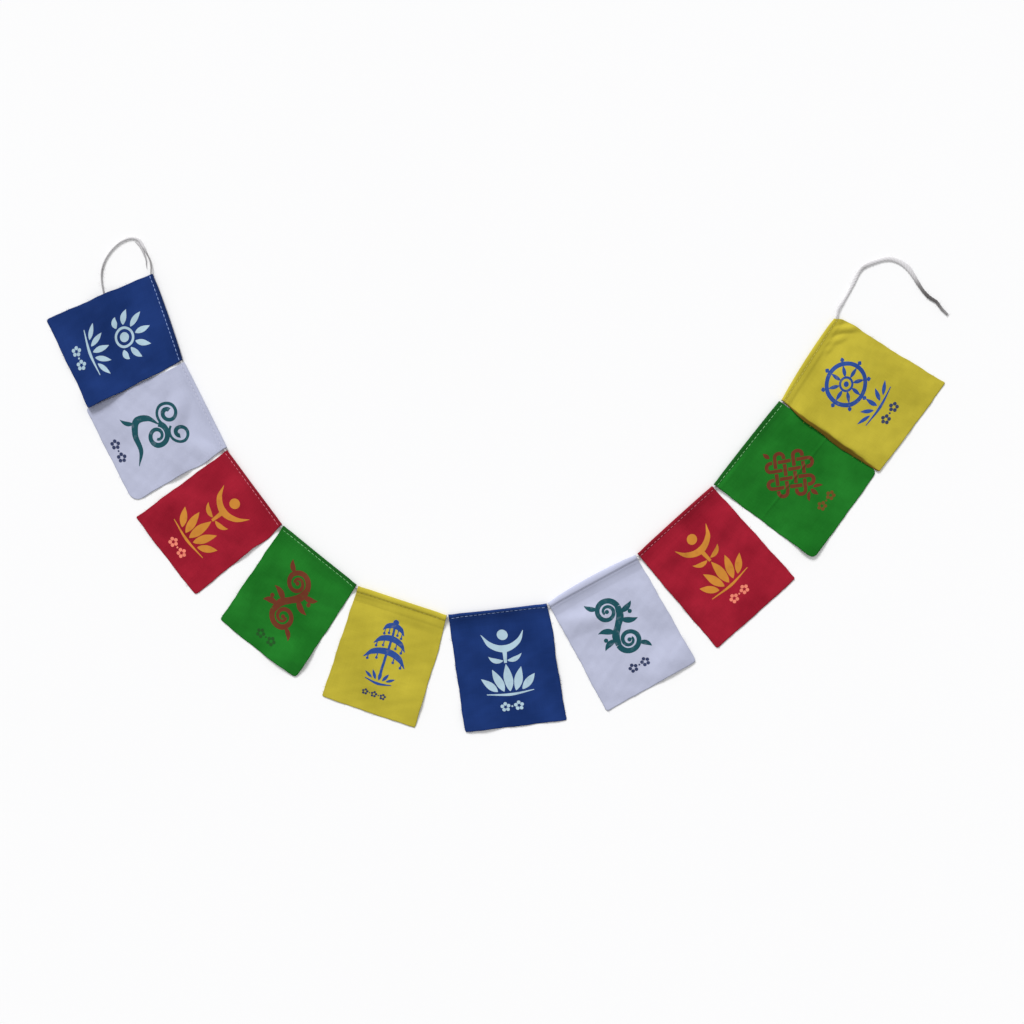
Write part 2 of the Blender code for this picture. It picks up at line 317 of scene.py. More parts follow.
@dataclass(frozen=True)
class YarnFinish:
    """Spun cotton yarn, with painted shade between its plies, grey where it is soiled, and fuzzy."""

    name: str
    colour: Colour
    # The darker colour of its flecks, and of the shade painted in the grooves between its plies
    groove: Colour
    soiled: Colour
    slot: str = "cord"

    def make(self) -> bpy.types.Material:
        """Builds the yarn's material.

        Returns:
            The material.
        """
        nodes = NodeSheet(self.name, 0.92)
        nodes.shader.inputs["Sheen Weight"].default_value = 0.3
        place = nodes.add("TexCoord").outputs["Object"]
        depth = nodes.add("Attribute", attribute_name="groove").outputs["Fac"]
        worn = nodes.add("Attribute", attribute_name="soil").outputs["Fac"]
        fibres = nodes.noise(place, 1500.0, 4.0)
        patchy = nodes.blend(nodes.maths("MULTIPLY", fibres, 0.4), self.colour, self.groove)
        soft = nodes.blend(worn, patchy, self.soiled)
        # Shade painted in the grooves between the plies, darker still where the yarn is soiled
        dark = tuple(0.6 * part for part in self.soiled)
        deep = nodes.blend(worn, self.groove, dark)
        nodes.tint(nodes.blend(nodes.maths("MULTIPLY", depth, 0.6), soft, deep))
        nodes.bump(fibres, 0.00012)
        return nodes.material


class Dye(Enum):
    """The cloths' colours."""

    BLUE = ClothFinish("blue_cotton", from_screen(12, 46, 108), "blue_cloth", patch=0.22)
    WHITE = ClothFinish("white_cotton", from_screen(183, 187, 210), "white_cloth", patch=0.07, edge_shade=0.8)
    RED = ClothFinish("red_cotton", from_screen(153, 14, 40), "red_cloth", patch=0.20)
    GREEN = ClothFinish("green_cotton", from_screen(17, 111, 25), "green_cloth", patch=0.20)
    YELLOW = ClothFinish(
        "yellow_cotton", from_screen(185, 171, 51), "yellow_cloth", patch=0.14, edge_shade=0.8
    )


# The colour of each cloth's sewing thread
THREADS = {
    Dye.BLUE: from_screen(160, 186, 238),
    Dye.WHITE: from_screen(206, 208, 226),
    Dye.RED: from_screen(232, 134, 152),
    Dye.GREEN: from_screen(150, 222, 150),
    Dye.YELLOW: from_screen(222, 210, 104),
}


@dataclass(frozen=True)
class BrushMark:
    """One stroke of a printed ornament: its line and its widths, in millimetres."""

    line: np.ndarray
    widths: np.ndarray


class Pen:
    """Draws an ornament's strokes, in millimetres across and down from its top centre."""

    STEP = 0.5

    def __init__(self) -> None:
        """Starts with nothing drawn."""
        self.marks: list[BrushMark] = []

    def line(self, points: list[Point2], widths: list[float]) -> None:
        """A smooth stroke through some points, with a width at each.

        Args:
            points: The points.
            widths: The stroke's width at each point.
        """
        route = SmoothRoute([(*point, 0.0) for point in points])
        count = max(int(route.length / self.STEP), 6)
        places = np.linspace(0.0, route.length, count + 1)
        knots = [route.distance_of(index) for index in range(len(points))]
        self.marks.append(BrushMark(route.at(places)[:, :2], np.interp(places, knots, widths)))

    def petal(self, base: Point2, tip: Point2, width: float, bend: float = 0.0) -> None:
        """A pointed leaf from its base to its tip.

        Args:
            base: Where it starts.
            tip: Where it ends.
            width: Its greatest width.
            bend: How far its middle is pushed to its left.
        """
        start = np.array(base, float)
        end = np.array(tip, float)
        reach = end - start
        side = np.array([-reach[1], reach[0]]) / np.hypot(*reach)
        count = max(int(np.hypot(*reach) / self.STEP), 6)
        share = np.linspace(0.0, 1.0, count + 1)[:, None]
        line = start + reach * share + side * bend * 4 * share * (1 - share)
        swell = np.sin(np.pi * share[:, 0] ** 0.85) ** 0.9
        self.marks.append(BrushMark(line, width * np.clip(swell, 0.02, 1.0)))

    def dot(self, centre: Point2, radius: float) -> None:
        """A filled circle."""
        across = np.cos(np.linspace(math.pi, 0.0, 17))
        line = np.stack([centre[0] + radius * across, np.full(17, centre[1])], axis=1)
        widths = 2 * radius * np.sqrt(np.clip(1 - across * across, 0.0004, 1))
        self.marks.append(BrushMark(line, widths))

    def ring(self, centre: Point2, radius: float, width: float) -> None:
        """A circle drawn with one even stroke."""
        self.curl(centre, (radius, radius), (0.0, 360.0), (width, width))

    def curl(self, centre: Point2, radii: Point2, turns: Point2, widths: Point2) -> None:
        """A spiral stroke.

        Args:
            centre: Its centre.
            radii: Its first and last radius.
            turns: Its first and last angle in degrees, clockwise from the right.
            widths: Its first and last width.
        """
        length = math.radians(abs(turns[1] - turns[0])) * sum(radii) / 2
        share = np.linspace(0.0, 1.0, max(int(length / self.STEP), 10) + 1)
        angle = np.radians(turns[0] + (turns[1] - turns[0]) * share)
        radius = radii[0] + (radii[1] - radii[0]) * share
        line = np.stack([centre[0] + radius * np.cos(angle), centre[1] + radius * np.sin(angle)], axis=1)
        self.marks.append(BrushMark(line, widths[0] + (widths[1] - widths[0]) * share))

    def petal_pair(self, base: Point2, tip: Point2, width: float, bend: float = 0.0) -> None:
        """A petal and its mirror image across the ornament's middle.

        Args:
            base: Where the right one starts.
            tip: Where it ends.
            width: Its greatest width.
            bend: How far its middle is pushed to its left.
        """
        self.petal(base, tip, width, bend)
        self.petal((-base[0], base[1]), (-tip[0], tip[1]), width, -bend)

    def lotus(self, low: float, reach: float, width: float) -> None:
        """A lotus seat seen from the front: five petals over a bowed bar.

        Args:
            low: How far down its bar is.
            reach: How tall its middle petal is.
            width: The bar's length.
        """
        self.petal((0.0, low - 2.6), (0.0, low - 2.6 - reach), 0.32 * reach)
        self.petal_pair((0.11 * width, low - 2.8), (0.27 * width, low - 2.4 - 0.86 * reach), 0.29 * reach)
        self.petal_pair((0.23 * width, low - 3.2), (0.5 * width, low - 2.4 - 0.56 * reach), 0.26 * reach)
        bar = [(-0.44 * width, low - 1.8), (0.0, low), (0.44 * width, low - 1.8)]
        self.line(bar, [0.6, 2.2, 0.6])


def draw_jewel(pen: Pen) -> None:
    """A jewel in a halo of flames, on a lotus seat."""
    centre = (0.0, 22.0)
    pen.dot(centre, 3.7)
    pen.ring(centre, 7.0, 1.9)
    for degrees, length in ((0.0, 13.0), (38.0, 12.0), (76.0, 10.5), (114.0, 9.0)):
        for side in (1.0,) if degrees == 0.0 else (1.0, -1.0):
            turn = math.radians(side * degrees)
            way = (math.sin(turn), -math.cos(turn))
            base = (centre[0] + 9.2 * way[0], centre[1] + 9.2 * way[1])
            tip = (base[0] + length * way[0], base[1] + length * way[1] - 0.05 * degrees)
            pen.petal(base, tip, 4.6, side * 0.010 * degrees)
    pen.lotus(52.5, 14.0, 40.0)


def draw_cloud(pen: Pen) -> None:
    """Three rolled clouds with a trailing tail."""
    pen.curl((-8.5, 13.0), (9.5, 2.6), (60.0, 590.0), (2.0, 3.6))
    pen.curl((9.0, 11.0), (8.6, 2.2), (150.0, -330.0), (1.8, 3.4))
    pen.curl((3.5, 28.5), (9.2, 2.4), (-150.0, 400.0), (4.6, 2.0))
    pen.line([(-4.4, 24.0), (-12.0, 30.0), (-14.0, 38.0), (-6.0, 44.0), (8.0, 46.0), (17.0, 52.5)],
             [1.0, 4.4, 5.6, 4.8, 3.4, 0.4])
    pen.petal((-13.0, 41.0), (-20.5, 50.0), 3.4, -1.6)


def draw_moon(pen: Pen) -> None:
    """A sun over a crescent moon, on a stem above a lotus seat."""
    pen.dot((0.0, 4.4), 4.2)
    pen.line([(-16.5, 2.5), (-11.0, 11.0), (0.0, 15.6), (11.0, 11.0), (16.5, 2.5)], [0.3, 4.0, 5.8, 4.0, 0.3])
    pen.line([(0.0, 17.0), (0.0, 27.0)], [3.6, 2.2])
    pen.petal_pair((1.6, 25.0), (13.0, 20.5), 3.8, 1.8)
    pen.lotus(52.5, 22.0, 42.0)


def draw_scroll(pen: Pen) -> None:
    """A leafy vine rolled up at both ends."""
    pen.curl((-2.5, 12.5), (9.6, 2.4), (0.0, -560.0), (4.6, 1.8))
    pen.curl((2.5, 40.5), (9.6, 2.4), (180.0, -380.0), (4.6, 1.8))
    pen.line([(7.1, 12.5), (5.4, 20.0), (0.0, 26.5), (-5.4, 33.0), (-7.1, 40.5)], [4.6, 6.2, 5.0, 6.2, 4.6])
    pen.petal((6.6, 17.0), (18.5, 13.5), 4.6, 1.6)
    pen.petal((4.6, 22.0), (17.0, 28.0), 4.8, 1.8)
    pen.petal((-4.6, 31.0), (-17.0, 25.0), 4.8, 1.8)
    pen.petal((-6.6, 36.0), (-18.5, 39.5), 4.6, 1.6)
    pen.petal((-8.2, 6.8), (-16.0, -0.5), 4.0, -1.4)
    pen.petal((8.2, 46.2), (16.0, 53.5), 4.0, -1.4)
    for centre in ((-2.5, 12.5), (2.5, 40.5), (14.0, 20.6), (-14.0, 32.4)):
        pen.dot(centre, 1.7)


def draw_parasol(pen: Pen) -> None:
    """A parasol of three tiers on a pole, with drops at its hems."""
    pen.dot((0.0, 2.2), 2.3)
    for top, half, thick in ((5.0, 8.5, 3.8), (15.5, 12.5, 4.2), (26.5, 16.5, 4.6)):
        drop = 0.42 * half + 2.0
        pen.line([(-half, top + drop), (-0.62 * half, top + 0.3 * drop), (0.0, top),
                  (0.62 * half, top + 0.3 * drop), (half, top + drop)], [0.5, thick, thick + 0.8, thick, 0.5])
        for share in (-0.8, -0.4, 0.0, 0.4, 0.8):
            high = top + 2.0 + 0.55 * drop * share * share
            pen.line([(share * half, high), (share * half, high + 3.4)], [0.8, 0.8])
            pen.dot((share * half, high + 4.2), 1.05)
    pen.line([(0.0, 5.0), (0.0, 46.0)], [1.7, 2.1])
    pen.lotus(53.0, 8.5, 24.0)


def draw_knot(pen: Pen) -> None:
    """An endless knot: an interlaced lattice set on its corner, with a leaf above and below."""
    pitch = 7.0
    centre = 26.0
    width = 2.8
    gap = 0.5 * width + 0.75
    lanes = [(index - 1.5) * pitch for index in range(4)]
    reach = 2.0 * pitch

    def place(first: float, second: float) -> Point2:
        """A lattice place turned by an eighth of a circle."""
        return ((first - second) * math.sqrt(0.5), centre + (first + second) * math.sqrt(0.5))

    for column, fixed in enumerate(lanes):
        for runs_down in (True, False):
            stops = [lane for row, lane in enumerate(lanes) if (row + column) % 2 == int(runs_down)]
            starts = [-reach] + [lane + gap for lane in stops]
            ends = [lane - gap for lane in stops] + [reach]
            for start, end in zip(starts, ends):
                pair = ((fixed, start), (fixed, end)) if runs_down else ((start, fixed), (end, fixed))
                pen.line([place(*pair[0]), place(*pair[1])], [width, width])
    for side in (-1.0, 1.0):
        for first in (0, 2):
            middle = (lanes[first] + lanes[first + 1]) / 2
            for swapped in (False, True):
                bow = []
                for degrees in range(0, 181, 30):
                    aside = middle + 0.5 * pitch * math.cos(math.radians(degrees))
                    out = side * (reach + 0.5 * pitch * math.sin(math.radians(degrees)))
                    bow.append(place(out, aside) if swapped else place(aside, out))
                pen.line(bow, [width] * len(bow))
    pen.petal((0.0, 5.6), (0.0, -1.0), 3.4)
    pen.petal((0.0, 46.4), (0.0, 54.0), 3.4)
    pen.petal_pair((2.0, 47.0), (8.0, 52.0), 2.6, -0.8)


def draw_wheel(pen: Pen) -> None:
    """A wheel of eight spokes on a lotus seat."""
    centre = (0.0, 20.0)
    pen.ring(centre, 15.6, 3.2)
    pen.ring(centre, 5.0, 1.8)
    pen.dot(centre, 2.1)
    for spoke in range(8):
        turn = math.radians(45.0 * spoke)
        way = (math.cos(turn), math.sin(turn))
        ends = [(centre[0] + way[0] * reach, centre[1] + way[1] * reach) for reach in (5.6, 14.6, 17.0, 20.4)]
        pen.petal(ends[0], ends[1], 2.9)
        pen.petal(ends[2], ends[3], 3.4)
    pen.lotus(53.0, 10.5, 38.0)


def draw_blossoms(pen: Pen, count: int) -> None:
    """A row of small five-petalled blossoms with a bead between each two.

    Args:
        pen: What draws them.
        count: How many there are.
    """
    pitch = 21.0 / count
    reach = 0.24 * pitch
    for index in range(count):
        middle = (index - (count - 1) / 2) * pitch
        for petal in range(5):
            turn = math.radians(72 * petal - 90)
            pen.dot((middle + reach * math.cos(turn), reach * math.sin(turn)), 0.56 * reach)
        if index:
            pen.dot((middle - pitch / 2, 0.0), 0.3 * reach)


class Ornament(Enum):
    """The printed ornaments, each with what draws it."""

    JEWEL = (draw_jewel,)
    CLOUD = (draw_cloud,)
    MOON = (draw_moon,)
    SCROLL = (draw_scroll,)
    PARASOL = (draw_parasol,)
    KNOT = (draw_knot,)
    WHEEL = (draw_wheel,)

    def marks(self) -> list[BrushMark]:
        """The ornament's strokes."""
        pen = Pen()
        self.value[0](pen)
        return pen.marks


class SmoothRoute:
    """A smooth curve through a list of points, read by the distance along it."""

    SAMPLES = 24

    def __init__(self, points: list[tuple[float, float, float]]) -> None:
        """Works out the curve.

        Args:
            points: The points that it goes through.
        """
        self.points = [Vector(point) for point in points]
        line = [self.points[0]]
        self.knots = [0]
        for index in range(len(self.points) - 1):
            line.extend(self.span(index)[1:])
            self.knots.append(len(line) - 1)
        self.line = np.array([tuple(point) for point in line])
        steps = np.linalg.norm(np.diff(self.line, axis=0), axis=1)
        self.reach = np.concatenate([[0.0], np.cumsum(steps)])
        self.length = float(self.reach[-1])

    def tangent(self, index: int) -> Vector:
        """The curve's direction at one of its points, leaning to the nearer neighbour's.

        Args:
            index: Which point.

        Returns:
            The direction.
        """
        last = len(self.points) - 1
        if index in (0, last):
            near = min(max(index, 1), last)
            return (self.points[near] - self.points[near - 1]).normalized()
        before = self.points[index] - self.points[index - 1]
        after = self.points[index + 1] - self.points[index]
        blend = before.normalized() * after.length + after.normalized() * before.length
        return blend.normalized()

    def span(self, index: int) -> list[Vector]:
        """The points of the curve between one of its points and the next.

        Args:
            index: The span's first point.

        Returns:
            The points, both ends among them.
        """
        start = self.points[index]
        end = self.points[index + 1]
        handle = (end - start).length / 3
        first = start + self.tangent(index) * handle
        second = end - self.tangent(index + 1) * handle
        return interpolate_bezier(start, first, second, end, self.SAMPLES + 1)

    def distance_of(self, index: int) -> float:
        """How far along the curve one of its own points lies."""
        return float(self.reach[self.knots[index]])

    def at(self, distances: np.ndarray) -> np.ndarray:
        """The points at some distances along the curve."""
        return np.stack([np.interp(distances, self.reach, axis) for axis in self.line.T], axis=-1)


def new_piece(name: str, points: np.ndarray, faces: Faces) -> bpy.types.Object:
    """Makes a smooth-shaded mesh object in the scene.

    Args:
        name: The piece's name.
        points: Its points, one row each.
        faces: The points' numbers round each face.

    Returns:
        The object.
    """
    mesh = bpy.data.meshes.new(name)
    mesh.from_pydata(points.tolist(), [], faces)
    mesh.shade_smooth()
    piece = bpy.data.objects.new(name, mesh)
    bpy.context.scene.collection.objects.link(piece)
    return piece


def grid_faces(rows: int, columns: int, first: int = 0, round_about: bool = False) -> Faces:
    """The faces of a grid of points that are listed row by row.

    Args:
        rows: How many rows there are.
        columns: How many points a row has.
        first: The number of the grid's first point.
        round_about: Whether each row's last point joins its first.

    Returns:
        The faces.
    """
    faces = []
    for row in range(rows - 1):
        for column in range(columns if round_about else columns - 1):
            here = first + row * columns + column
            aside = first + row * columns + (column + 1) % columns
            faces.append((here, here + columns, aside + columns, aside))
    return faces


def tube_faces(rings: int, sides: int, first: int = 0) -> Faces:
    """The faces of a closed tube whose points are listed ring by ring.

    Args:
        rings: How many rings it has.
        sides: How many points a ring has.
        first: The number of the tube's first point.

    Returns:
        The faces, both ends among them.
    """
    faces = grid_faces(rings, sides, first, round_about=True)
    last = first + (rings - 1) * sides
    faces.append(tuple(range(first, first + sides)))
    faces.append(tuple(reversed(range(last, last + sides))))
    return faces


def sideways(line: np.ndarray) -> np.ndarray:
    """The directions in plan to the left of a line, one at each of its points.

    Args:
        line: The line's points.

    Returns:
        The directions, each of length 1.
    """
    ahead = np.gradient(line[:, :2], axis=0)
    ahead /= np.linalg.norm(ahead, axis=1)[:, None]
    return np.stack([-ahead[:, 1], ahead[:, 0]], axis=1)


def thread_mesh(lines: list[np.ndarray], radii: list[np.ndarray], sides: int) -> tuple[np.ndarray, Faces]:
    """Closed round threads along some lines.

    Args:
        lines: Each thread's middle points.
        radii: Each thread's radius at its points.
        sides: How many sides a thread has.

    Returns:
        The points and the faces of all the threads.
    """
    around = np.radians(np.arange(sides) * 360 / sides)[:, None]
    points = []
    faces = []
    first = 0
    for line, radius in zip(lines, radii):
        ahead = np.gradient(line, axis=0)
        ahead /= np.linalg.norm(ahead, axis=1)[:, None]
        side = np.cross(ahead, (0.0, 0.0, 1.0))
        side /= np.linalg.norm(side, axis=1)[:, None]
        above = np.cross(side, ahead)
        ring = side[:, None, :] * np.cos(around) + above[:, None, :] * np.sin(around)
        points.append((line[:, None, :] + ring * radius[:, None, None]).reshape(-1, 3))
        faces.extend(tube_faces(len(line), sides, first))
        first += len(line) * sides
    return np.concatenate(points), faces


def add_weights(piece: bpy.types.Object, name: str, values: np.ndarray) -> None:
    """Gives each point of a piece a value that its material reads.

    Args:
        piece: The piece.
        name: The values' name.
        values: A value for each point.
    """
    layer = piece.data.attributes.new(name, "FLOAT", "POINT")
    layer.data.foreach_set("value", np.asarray(values, np.float32).ravel())


def add_cloth_run(piece: bpy.types.Object, run: np.ndarray) -> None:
    """Gives a cloth the places that its weave follows.

    Args:
        piece: The cloth.
        run: For each point, its distance across and along the flat cloth.
    """
    layer = piece.data.uv_layers.new(name="cloth_run")
    corners = np.empty(len(piece.data.loops), np.int32)
    piece.data.loops.foreach_get("vertex_index", corners)
    layer.data.foreach_set("uv", run[corners].astype(np.float32).ravel())


def thicken(piece: bpy.types.Object, thickness: float) -> None:
    """Thickens an open sheet evenly to both sides."""
    modifier = piece.modifiers.new("thickness", "SOLIDIFY")
    modifier.thickness = thickness
    modifier.offset = 0.0
    modifier.use_quality_normals = True


@dataclass
class CordLine:
    """The cord's route: a tail, the ten headers, and the other tail."""

    radius: float = 0.0010
    floor_z: float = 0.00082
    header_z: float = 0.00242
    rise: float = 0.016
    header_shift: float = 0.00105
    right_asides: tuple[Point2, ...] = (
        (-0.05, 0.0), (0.0, 0.0008), (0.03, 0.0015), (0.08, 0.0004), (0.12, 0.0), (0.42, 0.0), (0.54, 0.0010),
        (0.62, 0.0010), (0.70, 0.0), (0.85, 0.0), (0.905, 0.0011), (0.96, 0.0),
    )
    shift_run: float = 0.024
    edge_to_middle: float = 0.0024
    straight_share: float = 0.14
    left_tail: tuple[Point2, ...] = (
        (-0.3110, 0.1555),
        (-0.3124, 0.1620),
        (-0.3137, 0.1681),
        (-0.3148, 0.1740),
        (-0.3154, 0.1797),
        (-0.3151, 0.1857),
        (-0.3126, 0.1938),
        (-0.3074, 0.2020),
        (-0.2984, 0.2096),
        (-0.2906, 0.2118),
        (-0.2858, 0.2104),
        (-0.2822, 0.2054),
        (-0.2792, 0.1990),
        (-0.2774, 0.1948),
        (-0.2764, 0.1892),
    )
    right_tail: tuple[Point2, ...] = (
        (0.2762, 0.1566),
        (0.2788, 0.1622),
        (0.2822, 0.1690),
        (0.2855, 0.1756),
        (0.2890, 0.1828),
        (0.2932, 0.1880),
        (0.2998, 0.1917),
        (0.3072, 0.1939),
        (0.3144, 0.1946),
        (0.3216, 0.1922),
        (0.3278, 0.1882),
        (0.3334, 0.1822),
        (0.3378, 0.1752),
        (0.3420, 0.1691),
        (0.3468, 0.1641),
        (0.3522, 0.1594),
        (0.3562, 0.1553),
        (0.3604, 0.1514),
    )
    joints: tuple[Point2, ...] = (
        (-0.2742, 0.1837),
        (-0.2498, 0.1132),
        (-0.2152, 0.0431),
        (-0.1704, -0.0178),
        (-0.1107, -0.0661),
        (-0.0387, -0.0897),
        (0.0408, -0.0803),
        (0.1123, -0.0412),
        (0.1733, 0.0141),
        (0.2274, 0.0814),
        (0.2719, 0.1504),
    )
    route: SmoothRoute = field(init=False)
    reaches: list[float] = field(init=False)

    def centres(self, lows: list[tuple[Point2, Point2]]) -> list[Vector]:
        """The headers' joints moved in from the folded edge to the cord's middle.

        Args:
            lows: Each flag's two lower corners.

        Returns:
            The joints.
        """
        centres = []
        last = len(lows) - 1
        for index, joint in enumerate(self.joints):
            edge = Vector(joint)
            after = Vector(lows[min(index, last)][0])
            before = Vector(lows[max(index - 1, 0)][1])
            if index == 0:
                before = after
            if index == len(self.joints) - 1:
                after = before
            inward = (before - edge).normalized() + (after - edge).normalized()
            centres.append(edge + inward.normalized() * self.edge_to_middle)
        return centres

    def lay(self, lows: list[tuple[Point2, Point2]]) -> None:
        """Works out the route in plan and where the headers' joints lie on it.

        Args:
            lows: Each flag's two lower corners.
        """
        centres = self.centres(lows)
        points = [*self.left_tail, tuple(centres[0])]
        for start, end in zip(centres, centres[1:]):
            points.append(tuple(start.lerp(end, self.straight_share)))
            points.append(tuple(start.lerp(end, 1 - self.straight_share)))
            points.append(tuple(end))
        self.route = SmoothRoute([(*point, 0.0) for point in [*points, *self.right_tail]])
        first = len(self.left_tail)
        self.reaches = [self.route.distance_of(first + 3 * index) for index in range(len(centres))]

    def middle(self, distances: np.ndarray) -> np.ndarray:
        """The cord's middle at some distances: on the floor in the tails, up by the fold in the headers.

        Args:
            distances: The distances along the cord.

        Returns:
            The points.
        """
        points = self.route.at(distances)
        outside = np.maximum(self.reaches[0] - distances, distances - self.reaches[-1])
        drop = eased(outside / self.rise)
        ahead = self.route.at(distances + 0.0005) - self.route.at(distances - 0.0005)
        ahead /= np.linalg.norm(ahead, axis=1)[:, None]
        aside = self.header_shift * (1 - eased(outside / self.shift_run))
        tail = (distances - self.reaches[-1]) / (self.route.length - self.reaches[-1])
        aside = aside + np.interp(tail, *zip(*self.right_asides))
        points[:, 0] -= ahead[:, 1] * aside
        points[:, 1] += ahead[:, 0] * aside
        points[:, 2] = self.header_z + (self.floor_z - self.header_z) * drop
        return points


@dataclass(frozen=True)
class Fold:
    """A soft ridge or a lifted place, measured on the flag from its header's start and its cord."""

    across: float
    out: float
    turn: float
    half_length: float
    half_width: float
    height: float

    def raised(self, across: np.ndarray, out: np.ndarray) -> np.ndarray:
        """How far it lifts the cloth.

        Args:
            across: The places' distances from the header's start.
            out: Their distances from the cord.

        Returns:
            The heights.
        """
        turn = math.radians(self.turn)
        aside = across - self.across
        away = out - self.out
        along = (aside * math.cos(turn) + away * math.sin(turn)) / self.half_length
        over = (away * math.cos(turn) - aside * math.sin(turn)) / self.half_width
        inside = np.clip(1 - along * along, 0, 1) ** 2 * np.clip(1 - over * over, 0, 1) ** 2
        return self.height * inside


@dataclass(frozen=True)
class Flare:
    """A place where a flag's side lies farther out than a straight line would."""

    wider: float
    out: float
    reach: float

    def at(self, out: np.ndarray) -> np.ndarray:
        """How much farther out the side lies at some distances from the cord."""
        return self.wider * np.exp(-(((out - self.out) / self.reach) ** 2))


@dataclass
class PrayerFlag:
    """One flag: a cotton cloth turned over the cord and sewn down, with its print."""

    number: int
    dye: Dye
    low_start: Point2
    low_end: Point2
    # The low edge's bow, its corners' rounding, and how loose the header is at its start, middle and end
    low_bow: float
    start_round: float
    end_round: float
    sleeve: tuple[float, float, float]
    ornament: Ornament
    ink: Colour
    small_ink: Colour
    folds: tuple[Fold, ...]
    blossoms: int = 2
    header_gap: float = 0.0024
    cloth: float = 0.00042
    layer_gap: float = 0.00004
    floor_lift: float = 0.00002
    roll_width: float = 0.00219
    seam_out: float = 0.0
    seam_z: float = 0.00230
    roll_top: float = 0.00318
    needle_dent: float = 0.00010
    dent_width: float = 0.0009
    sheet_start: float = 0.0094
    columns: int = 81
    sheet_rows: int = 112
    header_rows: int = 48
    ripple: float = 0.00020
    wander: float = 0.00018
    fine_wander: float = 0.00008
    ease_run: float = 0.020
    crowding: float = 0.35
    edge_width: float = 0.0006
    start_ease: float = 0.0003
    end_ease: float = 0.0003
    start_flares: tuple[Flare, ...] = ()
    end_flares: tuple[Flare, ...] = ()
    # How dark the shade painted along a turned-down start side is, and on the header's roll, from 0 to 1
    turned_shade: float = 0.0
    roll_shade: float = 0.0
    frayed: int = 45
    stitch_pitch: float = 0.0036
    stitch_length: float = 0.0030
    thread: float = 0.00030
    ornament_top: float = 0.0140
    blossom_middle: float = 0.0760
    print_lift: float = 0.00005
    fray_shortest: float = 0.0006
    fray_spread: float = 0.0016
    fray_radius: float = 0.00007
    cord: CordLine = field(init=False)
    start: float = field(init=False)
    width: float = field(init=False)
    header_length: float = field(init=False)
    flat: Point2 = field(init=False)

    @property
    def node(self) -> str:
        """The flag's solid in the frame."""
        return f"flag_{self.number}_{self.dye.name.lower()}"

    @property
    def flap_z(self) -> float:
        """How high the flap's middle is at the seam, just under the sheet."""
        return self.seam_z - self.cloth - self.layer_gap

    def hang(self, cord: CordLine) -> None:
        """Gives the flag its stretch of the cord.

        Args:
            cord: The cord that it is sewn to.
        """
        self.cord = cord
        start, end = cord.reaches[self.number - 1 : self.number + 1]
        self.start = start + self.header_gap / 2
        self.width = end - start - self.header_gap

    def way_down(self, share: np.ndarray) -> tuple[np.ndarray, np.ndarray]:
        """The cord's places at shares of the width, and the ways from there to the low edge.

        Args:
            share: The shares of the width.

        Returns:
            The cord's plan points and the ways down.
        """
        cord = self.cord.route.at(self.start + self.width * share)[..., :2]
        low_start = np.array(self.low_start)
        low = low_start + (np.array(self.low_end) - low_start) * share[..., None]
        return cord, low - cord

    def start_widening(self, out: np.ndarray) -> np.ndarray:
        """How far the flares move the start side out at some distances from the cord."""
        return sum((flare.at(out) for flare in self.start_flares), 0 * out)

    def plan(self, share: np.ndarray, out: np.ndarray) -> np.ndarray:
        """The plan points at shares of the width and distances from the cord."""
        below = eased(out / self.ease_run)
        wander = self.wander * np.sin(out * 190 + self.number)
        wander = wander + self.fine_wander * np.sin(out * 530 + 2 * self.number)
        before = (self.start_ease + wander) * below + self.start_widening(out)
        after = (self.end_ease - wander) * below + sum(flare.at(out) for flare in self.end_flares)
        eased_share = share + (share * after - (1 - share) * before) / self.width
        cord, down = self.way_down(eased_share)
        return cord + down / np.linalg.norm(down, axis=-1)[..., None] * out[..., None]

    def free_length(self, share: np.ndarray) -> np.ndarray:
        """The distances from the cord to the low edge, with its bow and rounded corners.

        Args:
            share: The shares of the width.

        Returns:
            The distances.
        """
        length = np.linalg.norm(self.way_down(share)[1], axis=-1) + self.low_bow * 4 * share * (1 - share)
        length = length + 0.00014 * np.sin(share * 15 + self.number) + 0.00007 * np.sin(share * 43)
        corners = ((share * self.width, self.start_round), ((1 - share) * self.width, self.end_round))
        for aside, rounding in corners:
            reach = np.clip(rounding - aside, 0.0, rounding)
            length = length - (rounding - np.sqrt(rounding**2 - reach**2))
        return length

    def sleeve_room(self, share: np.ndarray) -> np.ndarray:
        """How much looser than elsewhere the roll is at shares of the width.

        Args:
            share: The shares of the width.

        Returns:
            The extra widths.
        """
        start, middle, end = self.sleeve
        bulge = middle - (start + end) / 2
        return start + (end - start) * share + bulge * 4 * share * (1 - share)

    def lift(self, share: np.ndarray, out: np.ndarray) -> np.ndarray:
        """How far the single cloth's middle is above the floor.

        Args:
            share: The shares of the width.
            out: The distances from the cord.

        Returns:
            The heights.
        """
        across = share * self.width
        height = np.full(np.broadcast(share, out).shape, self.cloth / 2 + self.floor_lift)
        for fold in self.folds:
            height = height + fold.raised(across, out)
        phase = 1.7 * self.number
        wave = np.sin(across * 240 + phase + 1.3 * np.sin(out * 170)) * np.sin(out * 205 + 2 * phase)
        fine = np.sin(across * 610 + 3 * phase + out * 260) * np.sin(out * 530 - across * 190 + phase)
        settled = eased((out - self.sheet_start) / 0.010)
        return height + settled * self.ripple * (1.35 + wave + 0.35 * fine)

